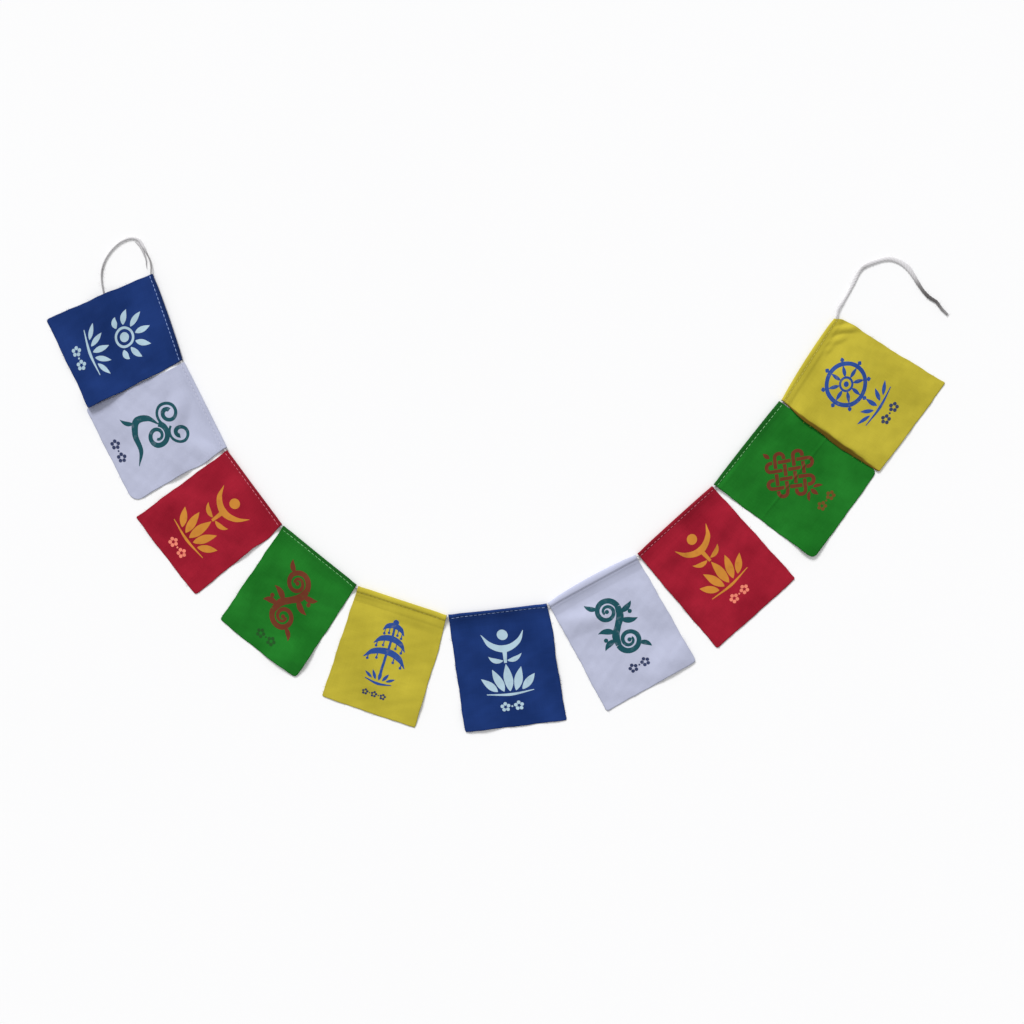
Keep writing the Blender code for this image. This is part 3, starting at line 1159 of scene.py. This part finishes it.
    def section(self) -> tuple[np.ndarray, np.ndarray]:
        """The header's section: distances from the cord and heights, from the flap's cut edge.

        Returns:
            The distances and the heights of the cloth's middle.
        """
        low = self.cloth / 2 + self.floor_lift
        seam = self.seam_out
        fold = -self.roll_width
        under = self.flap_z
        step = self.roll_top - self.seam_z - 0.00010
        points = [
            (seam + 0.0054, low),
            (seam + 0.0034, low + 0.00034),
            (seam + 0.0016, low + 0.00100),
            (seam, under),
            (seam - 0.00039, under - 0.00034),
            (seam - 0.00083, under - 0.00090),
            (fold + 0.00092, 0.00050),
            (fold + 0.00053, 0.00058),
            (fold + 0.00020, 0.00112),
            (fold, 0.00178),
            (fold + 0.00014, 0.00244),
            (fold + 0.00052, 0.00298),
            (fold + 0.00106, 0.00323),
            (seam - 0.00064, self.roll_top),
            (seam - 0.00028, self.roll_top - 0.31 * step),
            (seam - 0.00011, self.roll_top - 0.72 * step),
            (seam, self.seam_z + 0.00010),
            (seam + 0.00032, self.seam_z - 0.00004),
            (seam + 0.0016, self.seam_z - 0.00034),
            (seam + 0.0035, self.seam_z - 0.00104),
            (seam + 0.0056, low + 0.00052),
            (self.sheet_start, low),
        ]
        route = SmoothRoute([(*point, 0.0) for point in points])
        line = route.at(np.linspace(0.0, route.length, self.header_rows))
        self.header_length = route.length
        return line[:, 0], line[:, 1]

    def surface(self) -> tuple[np.ndarray, np.ndarray, np.ndarray, np.ndarray]:
        """The cloth's middle surface as a grid, from the flap's cut edge to the low edge.

        Returns:
            The points, their places on the flat cloth, how near each is to a cut edge, and how much
            shade is painted on each, along a start side that is turned down and on the header's roll.
        """
        side = np.linspace(0.0, 1.0, self.columns)
        share = 0.5 - 0.5 * np.cos(math.pi * side) * self.crowding + (side - 0.5) * (1 - self.crowding)
        outs, heights = self.section()
        rows = []
        run = []
        turned = []
        roll = []
        flap_run = np.linspace(0.0, self.header_length, self.header_rows)
        for out, height, along in zip(outs, heights, flap_run):
            widened = max(-out, 0.0) / self.roll_width
            place = out - widened * self.sleeve_room(share)
            needle = np.cos(2 * math.pi * share * self.width / self.stitch_pitch)
            on_top = along > self.header_length / 2
            near_seam = math.exp(-(((out - self.seam_out) / self.dent_width) ** 2)) * on_top
            lumpy = height + near_seam * self.needle_dent * needle
            settle = self.lift(share, np.full_like(share, out)) - self.cloth / 2 - self.floor_lift
            lumpy = lumpy + settle * eased((out - self.seam_out) / 0.004) * on_top
            rows.append(np.column_stack([self.plan(share, place), lumpy]))
            run.append(np.column_stack([share * self.width, np.full_like(share, along)]))
            turned.append(self.start_widening(place))
            # Shade painted on the header's roll
            roll.append(self.roll_shade * float(eased((self.seam_out - 0.0003 - out) / 0.0006)))
        length = self.free_length(share)
        for down in np.linspace(0.0, 1.0, self.sheet_rows)[1:]:
            out = self.sheet_start + (length - self.sheet_start) * down
            rows.append(np.column_stack([self.plan(share, out), self.lift(share, out)]))
            run.append(np.column_stack([share * self.width, self.header_length + out - self.sheet_start]))
            turned.append(self.start_widening(out))
            roll.append(0.0)
        points = np.array(rows)
        run = np.array(run)
        from_side = np.minimum(share, 1 - share)[None, :] * self.width
        from_flap = run[:, :, 1]
        from_low = from_flap[-1] - from_flap
        edge = np.minimum(np.minimum(from_side, from_low), from_flap)
        # Shade painted in a strip along a start side that is turned down, and on the header's roll
        in_shade = self.turned_shade * (1 - eased((share * self.width - np.array(turned) + 0.0003) / 0.0007))
        in_shade = np.maximum(in_shade, np.array(roll)[:, None])
        return points, run, np.exp(-np.maximum(edge, 0) / self.edge_width), in_shade

    def build_cloth(self) -> bpy.types.Object:
        """Makes the flag's cloth.

        Returns:
            The cloth.
        """
        points, run, edge, turned = self.surface()
        rows, columns = points.shape[:2]
        piece = new_piece(f"{self.node}_cloth", points.reshape(-1, 3), grid_faces(rows, columns))
        add_cloth_run(piece, run.reshape(-1, 2))
        add_weights(piece, "cut_edge", edge)
        # Where shade is painted on the cloth
        add_weights(piece, "painted_shade", turned)
        thicken(piece, self.cloth)
        piece.data.materials.append(cloth_material(self.dye))
        self.flat = (round(self.width + 0.001, 4), round(float(run[-1, columns // 2, 1]), 4))
        return piece

    def on_cloth(self, across_mm: np.ndarray, out: np.ndarray, lift: np.ndarray) -> np.ndarray:
        """Places on top of the cloth.

        Args:
            across_mm: Millimetres from the flag's middle line.
            out: Metres from the cord.
            lift: How far above the cloth each place is, in metres.

        Returns:
            The points.
        """
        share = 0.5 + across_mm * MM / self.width
        height = self.lift(share, out) + self.cloth / 2 + lift
        return np.concatenate([self.plan(share, out), height[..., None]], axis=-1)

    def build_print(self, name: str, marks: list[BrushMark], top: float, ink: Colour) -> bpy.types.Object:
        """Lays printed strokes on the cloth as a thin film.

        Args:
            name: What is printed.
            marks: The strokes.
            top: How far from the cord their own zero lies.
            ink: Their colour.

        Returns:
            The printed film.
        """
        lanes = np.linspace(-0.5, 0.5, 5)
        points = []
        faces = []
        count = 0
        for layer, mark in enumerate(marks):
            side = sideways(mark.line)
            place = mark.line[:, None, :] + side[:, None, :] * (mark.widths[:, None] * lanes)[..., None]
            lift = np.full(place.shape[:2], self.print_lift + layer * 0.0000015)
            points.append(self.on_cloth(place[..., 0], top + place[..., 1] * MM, lift).reshape(-1, 3))
            faces.extend(grid_faces(len(mark.line), len(lanes), count))
            count += place.shape[0] * place.shape[1]
        piece = new_piece(f"{self.node}_{name}", np.concatenate(points), faces)
        finish = InkFinish(f"{self.node}_{name}_ink", ink, self.dye.value.colour)
        piece.data.materials.append(finish.make())
        return piece

    def build_stitches(self) -> bpy.types.Object:
        """Makes the header's line of lock stitches, on its front and its back.

        Returns:
            The sewing thread.
        """
        total = int(self.width / self.stitch_pitch)
        spare = (self.width - total * self.stitch_pitch) / 2
        arch = np.sin(math.pi * np.linspace(0.0, 1.0, 7)) ** 0.6
        lines = []
        for index in range(total):
            begin = spare + index * self.stitch_pitch + (self.stitch_pitch - self.stitch_length) / 2
            share = (begin + self.stitch_length * np.linspace(0.0, 1.0, 7)) / self.width
            sway = 0.00007 * math.sin(2.3 * index + self.number)
            place = self.plan(share, np.full_like(share, self.seam_out + 0.00006 + sway))
            for base, sign in ((self.seam_z + self.cloth / 2, 1.0), (self.flap_z - self.cloth / 2, -1.0)):
                height = base + sign * self.thread * (0.9 * arch - 0.35)
                lines.append(np.column_stack([place, height]))
        points, faces = thread_mesh(lines, [self.thread * (0.55 + 0.45 * arch)] * len(lines), 6)
        piece = new_piece(f"{self.node}_stitches", points, faces)
        thread = THREADS[self.dye]
        shade = tuple(0.8 * part for part in thread)
        piece.data.materials.append(YarnFinish(f"{self.node}_thread", thread, shade, shade).make())
        return piece

    def build_fray(self) -> bpy.types.Object:
        """Makes the short threads that have come out of the cloth's cut edges.

        Returns:
            The frayed threads.
        """
        draw = np.random.default_rng(self.number)
        steps = np.linspace(0.0, 1.0, 6)
        lines = []
        radii = []
        for index in range(self.frayed):
            out = np.array([0.014 + 0.078 * draw.random()])
            share = np.array([draw.random()])
            if index % 3 == 0:
                out = self.free_length(share)
                edge = self.plan(share, out)[0]
                way = self.plan(share, out + 0.001)[0] - edge
            else:
                share = np.array([float(index % 3 == 1)])
                out = np.minimum(out, self.free_length(share) - 0.002)
                edge = self.plan(share, out)[0]
                way = edge - self.plan(np.array([0.5]), out)[0]
            way = way / np.linalg.norm(way)
            aside = np.array([-way[1], way[0]]) * (1.6 * draw.random() - 0.8)
            length = self.fray_shortest + self.fray_spread * draw.random() ** 2
            reach = steps[:, None] * length
            plan = edge - 0.0003 * way + way * reach + aside * reach * steps[:, None]
            height = self.lift(share, out) + 0.0004 * (draw.random() - 0.3) * steps
            lines.append(np.column_stack([plan, np.maximum(height, 0.0001)]))
            radii.append(self.fray_radius * (1 - 0.5 * steps))
        piece = new_piece(f"{self.node}_fray", *thread_mesh(lines, radii, 4))
        piece.data.materials.append(cloth_material(self.dye))
        return piece

    def build(self, cord_piece: str) -> None:
        """Makes the flag, hangs its pieces under the root and hides its solid.

        Args:
            cord_piece: The name of the cord's piece, which the header holds. It is not used.
        """
        cloth = self.build_cloth()
        pen = Pen()
        draw_blossoms(pen, self.blossoms)
        trims = [
            self.build_print("ornament", self.ornament.marks(), self.ornament_top, self.ink),
            self.build_print("blossoms", pen.marks, self.blossom_middle, self.small_ink),
            self.build_stitches(),
            self.build_fray(),
        ]
        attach(cloth, ROOT)
        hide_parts(self.node)
        for trim in trims:
            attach(trim, ROOT)
        stitches = int(self.width / self.stitch_pitch)
        LOG.info("%s: cloth %s m, %d stitches a side", cloth.name, self.flat, stitches)


@cache
def cloth_material(dye: Dye) -> bpy.types.Material:
    """The one material that all the flags of a dye share.

    Args:
        dye: The dye.

    Returns:
        The material.
    """
    return dye.value.make()


@dataclass
class TwistedCord:
    """The cotton cord: three plies in a soft twist, with a loose ply and stray fibres."""

    line: CordLine
    ring_step: float = 0.00055
    sides: int = 20
    plies: int = 3
    lay_length: float = 0.0085
    fibres: int = 150
    fibre: float = 0.000035
    fibre_shortest: float = 0.0012
    fibre_spread: float = 0.0024
    ply_radius: float = 0.00055
    ply_floor_z: float = 0.00057
    ply_sides: int = 12
    # Its second colour is the darker fleck colour and the shade painted between the plies
    finish: YarnFinish = YarnFinish(
        "undyed_cotton", from_screen(226, 225, 228), from_screen(194, 190, 191), from_screen(97, 94, 94)
    )
    # How wide the cord is, against its radius, and how soiled, at shares of each tail from the flags
    left_widths: tuple[Point2, ...] = (
        (0.0, 0.6), (0.16, 0.62), (0.26, 1.15), (0.36, 0.95), (0.48, 0.66), (1.0, 0.62),
    )
    left_soil: tuple[Point2, ...] = (
        (0.0, 0.7), (0.16, 0.7), (0.23, 0.05), (0.45, 0.1), (0.6, 0.25), (0.7, 0.6), (0.78, 0.45), (1.0, 0.5),
    )
    right_widths: tuple[Point2, ...] = (
        (0.0, 0.7), (0.08, 1.3), (0.15, 0.95), (0.24, 1.75), (0.32, 1.15), (0.40, 1.55), (0.52, 1.8),
        (0.64, 2.1), (0.70, 1.8), (0.77, 1.4), (0.84, 1.45), (0.92, 1.2), (1.0, 1.0),
    )
    right_soil: tuple[Point2, ...] = (
        (0.0, 0.1), (0.27, 0.0), (0.335, 0.35), (0.38, 0.1), (0.45, 0.0), (0.64, 0.05), (0.70, 0.25),
        (0.755, 0.8), (0.82, 1.0), (0.90, 1.0), (0.95, 0.85), (1.0, 0.65),
    )
    header_width: float = 0.62
    header_squash: float = 0.56
    tail_squash: float = 0.74
    header_soil: float = 0.2
    loose_ply: tuple[Point2, ...] = (
        (-0.2887, 0.2093),
        (-0.2856, 0.2068),
        (-0.2839, 0.2044),
        (-0.2811, 0.1982),
        (-0.2798, 0.1940),
        (-0.2796, 0.1903),
        (-0.2791, 0.1870),
    )
    path: list[list[float]] = field(init=False)

    def along_tails(
        self, distances: np.ndarray, left: tuple[Point2, ...], inside: float, right: tuple[Point2, ...]
    ) -> np.ndarray:
        """A value that changes along the tails and is even in the headers.

        Args:
            distances: The distances along the cord.
            left: The left tail's values at shares of it from the flags.
            inside: The value in the headers.
            right: The right tail's values at shares of it from the flags.

        Returns:
            The values.
        """
        first = self.line.reaches[0]
        last = self.line.reaches[-1]
        before = np.interp((first - distances) / first, *zip(*left))
        after = np.interp((distances - last) / (self.line.route.length - last), *zip(*right))
        return np.where(distances < first, before, np.where(distances > last, after, inside))

    def widening(self, distances: np.ndarray) -> np.ndarray:
        """How wide the cord lies against its own radius."""
        return self.along_tails(distances, self.left_widths, self.header_width, self.right_widths)

    def soil(self, distances: np.ndarray) -> np.ndarray:
        """How soiled the cord is, from 0 to 1."""
        return self.along_tails(distances, self.left_soil, self.header_soil, self.right_soil)

    def dressed(
        self, name: str, points: np.ndarray, faces: Faces, groove: np.ndarray, soil: np.ndarray
    ) -> bpy.types.Object:
        """Makes one of the cord's pieces, with the values that its material reads.

        Args:
            name: The piece's name.
            points: Its points, one row each.
            faces: The points' numbers round each face.
            groove: How deep each point lies between the plies, from 0 to 1; shade is painted there by this
                much.
            soil: How soiled each point is, from 0 to 1.

        Returns:
            The piece.
        """
        piece = new_piece(name, points, faces)
        add_weights(piece, "groove", groove)
        add_weights(piece, "soil", soil)
        piece.data.materials.append(self.material)
        return piece

    def build_body(self) -> bpy.types.Object:
        """Makes the cord's own mesh, a tube with a groove between its plies.

        Returns:
            The cord.
        """
        total = self.line.route.length
        rings = int(total / self.ring_step)
        distances = np.linspace(0.0, total, rings + 1)
        middle = self.line.middle(distances)
        side = sideways(middle)
        around = np.radians(np.arange(self.sides) * 360 / self.sides)
        twist = 2 * math.pi * distances / self.lay_length + 0.5 * np.sin(distances * 55)
        lobe = np.abs(np.cos(0.5 * self.plies * (around[None, :] - twist[:, None])))
        wide = self.widening(distances)
        slack = np.clip(wide - 1.0, 0.0, 1.0)[:, None]
        radius = self.line.radius * (0.80 - 0.10 * slack + (0.20 + 0.06 * slack) * lobe**0.7)
        uneven = 1 + 0.04 * np.sin(distances * 410) + 0.03 * np.sin(distances * 173 + 1)
        across = radius * (wide * uneven)[:, None] * np.cos(around)
        outside = np.maximum(self.line.reaches[0] - distances, distances - self.line.reaches[-1])
        drop = eased(outside / self.line.rise)
        squash = self.header_squash + (self.tail_squash - self.header_squash) * drop
        tall = radius * np.sin(around) * squash[:, None]
        flat = middle[:, None, :2] + side[:, None, :] * across[..., None]
        height = middle[:, 2, None] + tall
        points = np.concatenate([flat, height[..., None]], axis=-1).reshape(-1, 3)
        faces = tube_faces(rings + 1, self.sides)
        self.path = middle[::8].tolist() + [middle[-1].tolist()]
        soil = np.repeat(self.soil(distances), self.sides)
        return self.dressed("twisted_cord", points, faces, (1 - lobe) ** 2, soil)

    def build_ply(self) -> bpy.types.Object:
        """Makes the ply that has come loose at the left tail's bend.

        Returns:
            The ply.
        """
        route = SmoothRoute([(*point, self.ply_floor_z) for point in self.loose_ply])
        rings = int(route.length / self.ring_step)
        share = np.linspace(0.0, 1.0, rings + 1)
        middle = route.at(share * route.length)
        side = sideways(middle)
        around = np.radians(np.arange(self.ply_sides) * 360 / self.ply_sides)
        ridges = 1 + 0.10 * np.cos(2 * (around[None, :] - share[:, None] * 22))
        radius = self.ply_radius * np.interp(share, (0, 0.1, 0.55, 0.85, 1), (0.5, 0.95, 0.9, 0.55, 0.15))
        spread = np.interp(share, (0, 0.15, 0.35, 0.65, 1), (1.0, 1.7, 1.9, 1.2, 1.0))[:, None]
        across = radius[:, None] * spread * ridges * np.cos(around)
        flat = middle[:, None, :2] + side[:, None, :] * across[..., None]
        height = middle[:, 2, None] + radius[:, None] * ridges * np.sin(around) * 0.95
        points = np.concatenate([flat, height[..., None]], axis=-1).reshape(-1, 3)
        faces = tube_faces(rings + 1, self.ply_sides)
        soil = np.repeat(0.25 + 0.3 * share, self.ply_sides)
        return self.dressed("loose_ply", points, faces, np.zeros(len(points)), soil)

    def build_fibres(self) -> bpy.types.Object:
        """Makes the stray fibres along the tails and the tuft at the cut end.

        Returns:
            The fibres.
        """
        draw = np.random.default_rng(7)
        total = self.line.route.length
        last = self.line.reaches[-1] + 0.004
        steps = np.linspace(0.0, 1.0, 6)[:, None]
        lines = []
        places = []
        for index in range(self.fibres):
            at_end = index % 5 == 0
            place = total - 0.0004 * draw.random()
            if index % 5 in (1, 2):
                place = 0.016 + (self.line.reaches[0] - 0.020) * draw.random()
            elif not at_end:
                place = last + (total - last) * draw.random()
            near = self.line.middle(np.array([place, min(place + 0.001, total), place - 0.001]))
            ahead = near[1] - near[2]
            ahead /= np.linalg.norm(ahead)
            side = np.array([-ahead[1], ahead[0], 0.0]) * (1 if draw.random() < 0.5 else -1)
            wide = self.line.radius * float(self.widening(np.array([place]))[0])
            root = near[0] + side * wide * (0.8 * draw.random() if at_end else 0.78)
            root[2] += self.line.radius * 0.6 * (draw.random() - 0.5)
            lean = 1.6 * draw.random() - 0.8
            way = ahead + side * 0.5 * lean if at_end else side * 0.7 + ahead * lean
            way /= np.linalg.norm(way)
            bend = np.cross(way, (0.0, 0.0, 1.0)) * (draw.random() - 0.5)
            length = self.fibre_shortest + self.fibre_spread * draw.random()
            line = root + way * length * steps + bend * length * steps**2
            line[:, 2] = np.maximum(line[:, 2] - 0.0008 * steps[:, 0] ** 2, 0.0001)
            lines.append(line)
            places.append(place)
        thin = self.fibre * (1 - 0.7 * steps[:, 0])
        points, faces = thread_mesh(lines, [thin] * len(lines), 3)
        soil = np.repeat(self.soil(np.array(places)), 3 * len(steps))
        return self.dressed("cord_fibres", points, faces, np.zeros(len(points)), soil)

    @cached_property
    def material(self) -> bpy.types.Material:
        """The cord's one material."""
        return self.finish.make()

    def build(self) -> bpy.types.Object:
        """Makes the cord, hangs its pieces under the root and hides its solids.

        Returns:
            The cord's own piece.
        """
        cord = self.build_body()
        ply = self.build_ply()
        fibres = self.build_fibres()
        for piece in (cord, ply, fibres):
            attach(piece, ROOT)
        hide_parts("cord")
        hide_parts("cord_loose_ply")
        return cord


@dataclass
class Studio:
    """A pale floor, soft light and a camera that looks straight down."""

    view_width: float = 0.8192
    centre: Point2 = (0.0128, -0.0072)
    lens: float = 50.0
    sensor: float = 36.0
    floor_size: float = 24.0
    floor_colour: Colour = (0.93, 0.93, 0.935)
    sky: float = 0.56
    key_strength: float = 2.7
    key_from: tuple[float, float, float] = (-0.35, 0.90, 0.66)
    key_spread: float = 20.0

    def build_floor(self) -> None:
        """Makes the floor just under the cloth."""
        bpy.ops.mesh.primitive_plane_add(size=self.floor_size, location=(0.0, 0.0, 0.0))
        floor = bpy.context.object
        floor.name = "studio_floor"
        nodes = NodeSheet("pale_floor", 0.9)
        place = nodes.add("TexCoord").outputs["Object"]
        lighter = tuple(min(1.0, part * 1.01) for part in self.floor_colour)
        nodes.tint(nodes.blend(nodes.noise(place, 3.0, 1.0), self.floor_colour, lighter))
        floor.data.materials.append(nodes.material)

    def build_lights(self) -> None:
        """Makes an even sky and a broad key light from beyond the cord's side."""
        world = bpy.data.worlds.new("soft_sky")
        world.use_nodes = True
        background = world.node_tree.nodes["Background"]
        background.inputs["Color"].default_value = (1.0, 1.0, 1.0, 1.0)
        background.inputs["Strength"].default_value = self.sky
        bpy.context.scene.world = world
        lamp = bpy.data.lights.new("key", "SUN")
        lamp.energy = self.key_strength
        lamp.angle = math.radians(self.key_spread)
        key = bpy.data.objects.new("key", lamp)
        key.location = self.key_from
        key.rotation_euler = (-Vector(self.key_from)).to_track_quat("-Z", "Y").to_euler()
        bpy.context.scene.collection.objects.link(key)

    def build_camera(self) -> None:
        """Makes the camera at the height from which it sees the view's width."""
        data = bpy.data.cameras.new("camera")
        data.lens = self.lens
        data.sensor_width = self.sensor
        data.clip_start = 0.01
        camera = bpy.data.objects.new("camera", data)
        camera.location = (*self.centre, self.view_width * self.lens / self.sensor)
        bpy.context.scene.collection.objects.link(camera)
        bpy.context.scene.camera = camera

    def build(self) -> None:
        """Makes the studio."""
        self.build_camera()
        self.build_floor()
        self.build_lights()
        bpy.context.scene.view_settings.view_transform = "Standard"
        LOG.info("studio: floor, sky, key light and camera")


TEAL = from_screen(22, 78, 88)
SLATE = from_screen(50, 60, 95)
ORANGE = from_screen(205, 135, 50)
SALMON = from_screen(240, 135, 112)
PALE_BLUE = from_screen(178, 205, 220)
BRICK = from_screen(110, 50, 30)
ROYAL_BLUE = from_screen(40, 75, 150)

FLAGS = (
    PrayerFlag(
        1, Dye.BLUE, (-0.3596, 0.1467), (-0.3251, 0.0757),
        low_bow=0.0001, start_round=0.0024, end_round=0.0012, sleeve=(0.0001, 0.0008, 0.0001),
        ornament=Ornament.JEWEL, ink=PALE_BLUE, small_ink=PALE_BLUE,
        folds=(
            Fold(0.000, 0.0410, 0, 0.044, 0.021, 0.0036),
            Fold(0.078, 0.0780, 90, 0.034, 0.026, 0.0050),
            Fold(0.077, 0.0400, 90, 0.036, 0.013, 0.0013),
            Fold(0.060, 0.0240, 25, 0.030, 0.012, 0.0012),
            Fold(0.030, 0.0800, 50, 0.034, 0.020, 0.0012),
        ),
        start_flares=(Flare(0.0011, 0.012, 0.014),),
        roll_shade=0.35,
    ),
    PrayerFlag(
        2, Dye.WHITE, (-0.3261, 0.0726), (-0.2898, 0.0003),
        low_bow=0.0004, start_round=0.0020, end_round=0.0080, sleeve=(0.0006, 0.0008, 0.0010),
        ornament=Ornament.CLOUD, ink=TEAL, small_ink=SLATE,
        folds=(
            Fold(0.004, 0.0900, -20, 0.030, 0.018, 0.0012),
            Fold(0.034, 0.0220, 40, 0.024, 0.011, 0.0020),
            Fold(0.062, 0.0380, 12, 0.028, 0.013, 0.0024),
            Fold(0.066, 0.0160, -30, 0.020, 0.009, 0.0014),
        ),
        start_flares=(Flare(0.0026, 0.080, 0.012), Flare(0.0014, 0.046, 0.030)),
        end_flares=(Flare(0.0015, 0.021, 0.011),),
    ),
    PrayerFlag(
        3, Dye.RED, (-0.2875, -0.0118), (-0.2405, -0.0733),
        low_bow=0.0003, start_round=0.0008, end_round=0.0016, sleeve=(0.0001, 0.0000, 0.0003),
        ornament=Ornament.MOON, ink=ORANGE, small_ink=SALMON,
        folds=(
            Fold(0.012, 0.0720, 60, 0.034, 0.014, 0.0016),
            Fold(0.060, 0.0300, 15, 0.030, 0.016, 0.0016),
            Fold(0.030, 0.0120, -5, 0.030, 0.012, 0.0012),
        ),
        end_flares=(Flare(0.0016, 0.014, 0.010),),
        roll_shade=0.35,
    ),
    PrayerFlag(
        4, Dye.GREEN, (-0.2202, -0.0932), (-0.1602, -0.1395),
        low_bow=0.0011, start_round=0.0012, end_round=0.0028, sleeve=(0.0006, 0.0003, 0.0006),
        ornament=Ornament.SCROLL, ink=BRICK, small_ink=from_screen(30, 84, 30),
        folds=(
            Fold(0.064, 0.0760, -35, 0.034, 0.018, 0.0024),
            Fold(0.024, 0.0240, 20, 0.026, 0.012, 0.0020),
            Fold(0.056, 0.0180, -12, 0.024, 0.011, 0.0018),
            Fold(0.006, 0.0640, 70, 0.034, 0.014, 0.0014),
        ),
        roll_shade=0.5,
    ),
    PrayerFlag(
        5, Dye.YELLOW, (-0.1388, -0.1545), (-0.0650, -0.1796),
        low_bow=0.0003, start_round=0.0010, end_round=0.0014, sleeve=(0.0003, 0.0000, 0.0001),
        ornament=Ornament.PARASOL, ink=ROYAL_BLUE, small_ink=SLATE,
        folds=(
            Fold(0.050, 0.0085, -2, 0.040, 0.0080, 0.0014),
            Fold(0.016, 0.0560, 55, 0.034, 0.016, 0.0016),
            Fold(0.062, 0.0700, 25, 0.030, 0.018, 0.0014),
        ),
        end_flares=(Flare(0.0010, 0.028, 0.022),),
        blossoms=3,
        seam_out=0.0019,
        thread=0.00022,
    ),
    PrayerFlag(
        6, Dye.BLUE, (-0.0244, -0.1832), (0.0562, -0.1736),
        low_bow=0.0002, start_round=0.0012, end_round=0.0012, sleeve=(0.0008, 0.0000, 0.0003),
        ornament=Ornament.MOON, ink=PALE_BLUE, small_ink=PALE_BLUE,
        folds=(
            Fold(0.072, 0.0500, 80, 0.036, 0.016, 0.0018),
            Fold(0.010, 0.0840, 20, 0.026, 0.018, 0.0016),
            Fold(0.022, 0.0300, 60, 0.030, 0.014, 0.0012),
        ),
        end_flares=(Flare(0.0014, 0.016, 0.018),),
    ),
    PrayerFlag(
        7, Dye.WHITE, (0.0887, -0.1665), (0.1597, -0.1266),
        low_bow=0.0002, start_round=0.0024, end_round=0.0020, sleeve=(0.0004, 0.0023, 0.0003),
        ornament=Ornament.SCROLL, ink=TEAL, small_ink=SLATE,
        folds=(
            Fold(0.020, 0.0240, 10, 0.032, 0.012, 0.0020),
            Fold(0.066, 0.0860, -25, 0.030, 0.018, 0.0018),
            Fold(0.070, 0.0400, 75, 0.030, 0.012, 0.0014),
        ),
        start_flares=(Flare(-0.0006, 0.040, 0.025),),
        seam_out=0.0007,
        thread=0.00022,
    ),
    PrayerFlag(
        8, Dye.RED, (0.1770, -0.1159), (0.2392, -0.0605),
        low_bow=0.0004, start_round=0.0014, end_round=0.0010, sleeve=(0.0003, 0.0006, 0.0003),
        ornament=Ornament.MOON, ink=ORANGE, small_ink=SALMON,
        folds=(
            Fold(0.018, 0.0120, 4, 0.034, 0.016, 0.0020),
            Fold(0.012, 0.0560, 75, 0.036, 0.016, 0.0018),
            Fold(0.064, 0.0260, -10, 0.030, 0.014, 0.0016),
        ),
        roll_shade=0.35,
    ),
    PrayerFlag(
        9, Dye.GREEN, (0.2537, -0.0445), (0.3036, 0.0239),
        low_bow=0.0005, start_round=0.0050, end_round=0.0035, sleeve=(0.0002, 0.0010, 0.0011),
        ornament=Ornament.KNOT, ink=BRICK, small_ink=from_screen(112, 74, 30),
        folds=(
            Fold(0.042, 0.0447, 0, 0.064, 0.0013, 0.00070),
            Fold(0.018, 0.0085, 2, 0.040, 0.0165, 0.0020),
            Fold(0.004, 0.0900, 30, 0.024, 0.018, 0.0020),
        ),
        end_ease=0.0008,
        roll_shade=0.55,
        end_flares=(Flare(0.0026, 0.050, 0.038),),
    ),
    PrayerFlag(
        10, Dye.YELLOW, (0.3072, 0.0264), (0.3592, 0.0957),
        low_bow=0.0004, start_round=0.0014, end_round=0.0010, sleeve=(0.0000, 0.0014, 0.0002),
        ornament=Ornament.WHEEL, ink=ROYAL_BLUE, small_ink=SLATE,
        folds=(
            Fold(0.075, 0.0105, 52, 0.014, 0.0046, 0.0022),
            Fold(0.064, 0.0095, 36, 0.011, 0.0040, 0.0013),
            Fold(0.054, 0.0075, 20, 0.007, 0.0034, 0.0008),
            Fold(0.000, 0.0520, 90, 0.056, 0.048, 0.0042),
            Fold(-0.002, 0.0540, 90, 0.044, 0.0065, -0.0042),
            Fold(0.042, 0.0240, 0, 0.050, 0.030, 0.0036),
            Fold(0.050, 0.0760, -40, 0.036, 0.018, 0.0016),
        ),
        start_ease=0.0009,
        start_flares=(Flare(0.0032, 0.056, 0.034), Flare(0.0012, 0.020, 0.014)),
        # Shade painted along the turned-down start side, over its real fold
        turned_shade=0.9,
        seam_z=0.00268,
        thread=0.00020,
        end_flares=(Flare(0.0011, 0.014, 0.014), Flare(-0.0027, -0.0024, 0.0038)),
    ),
)


def main() -> None:
    """Builds the studio, the cord and the flags."""
    logging.basicConfig(level=logging.INFO, format="%(name)s: %(message)s")
    Studio().build()
    line = CordLine()
    line.lay([(flag.low_start, flag.low_end) for flag in FLAGS])
    cord = TwistedCord(line).build()
    for flag in FLAGS:
        flag.hang(line)
        flag.build(cord.name)


if __name__ == "__main__":
    main()
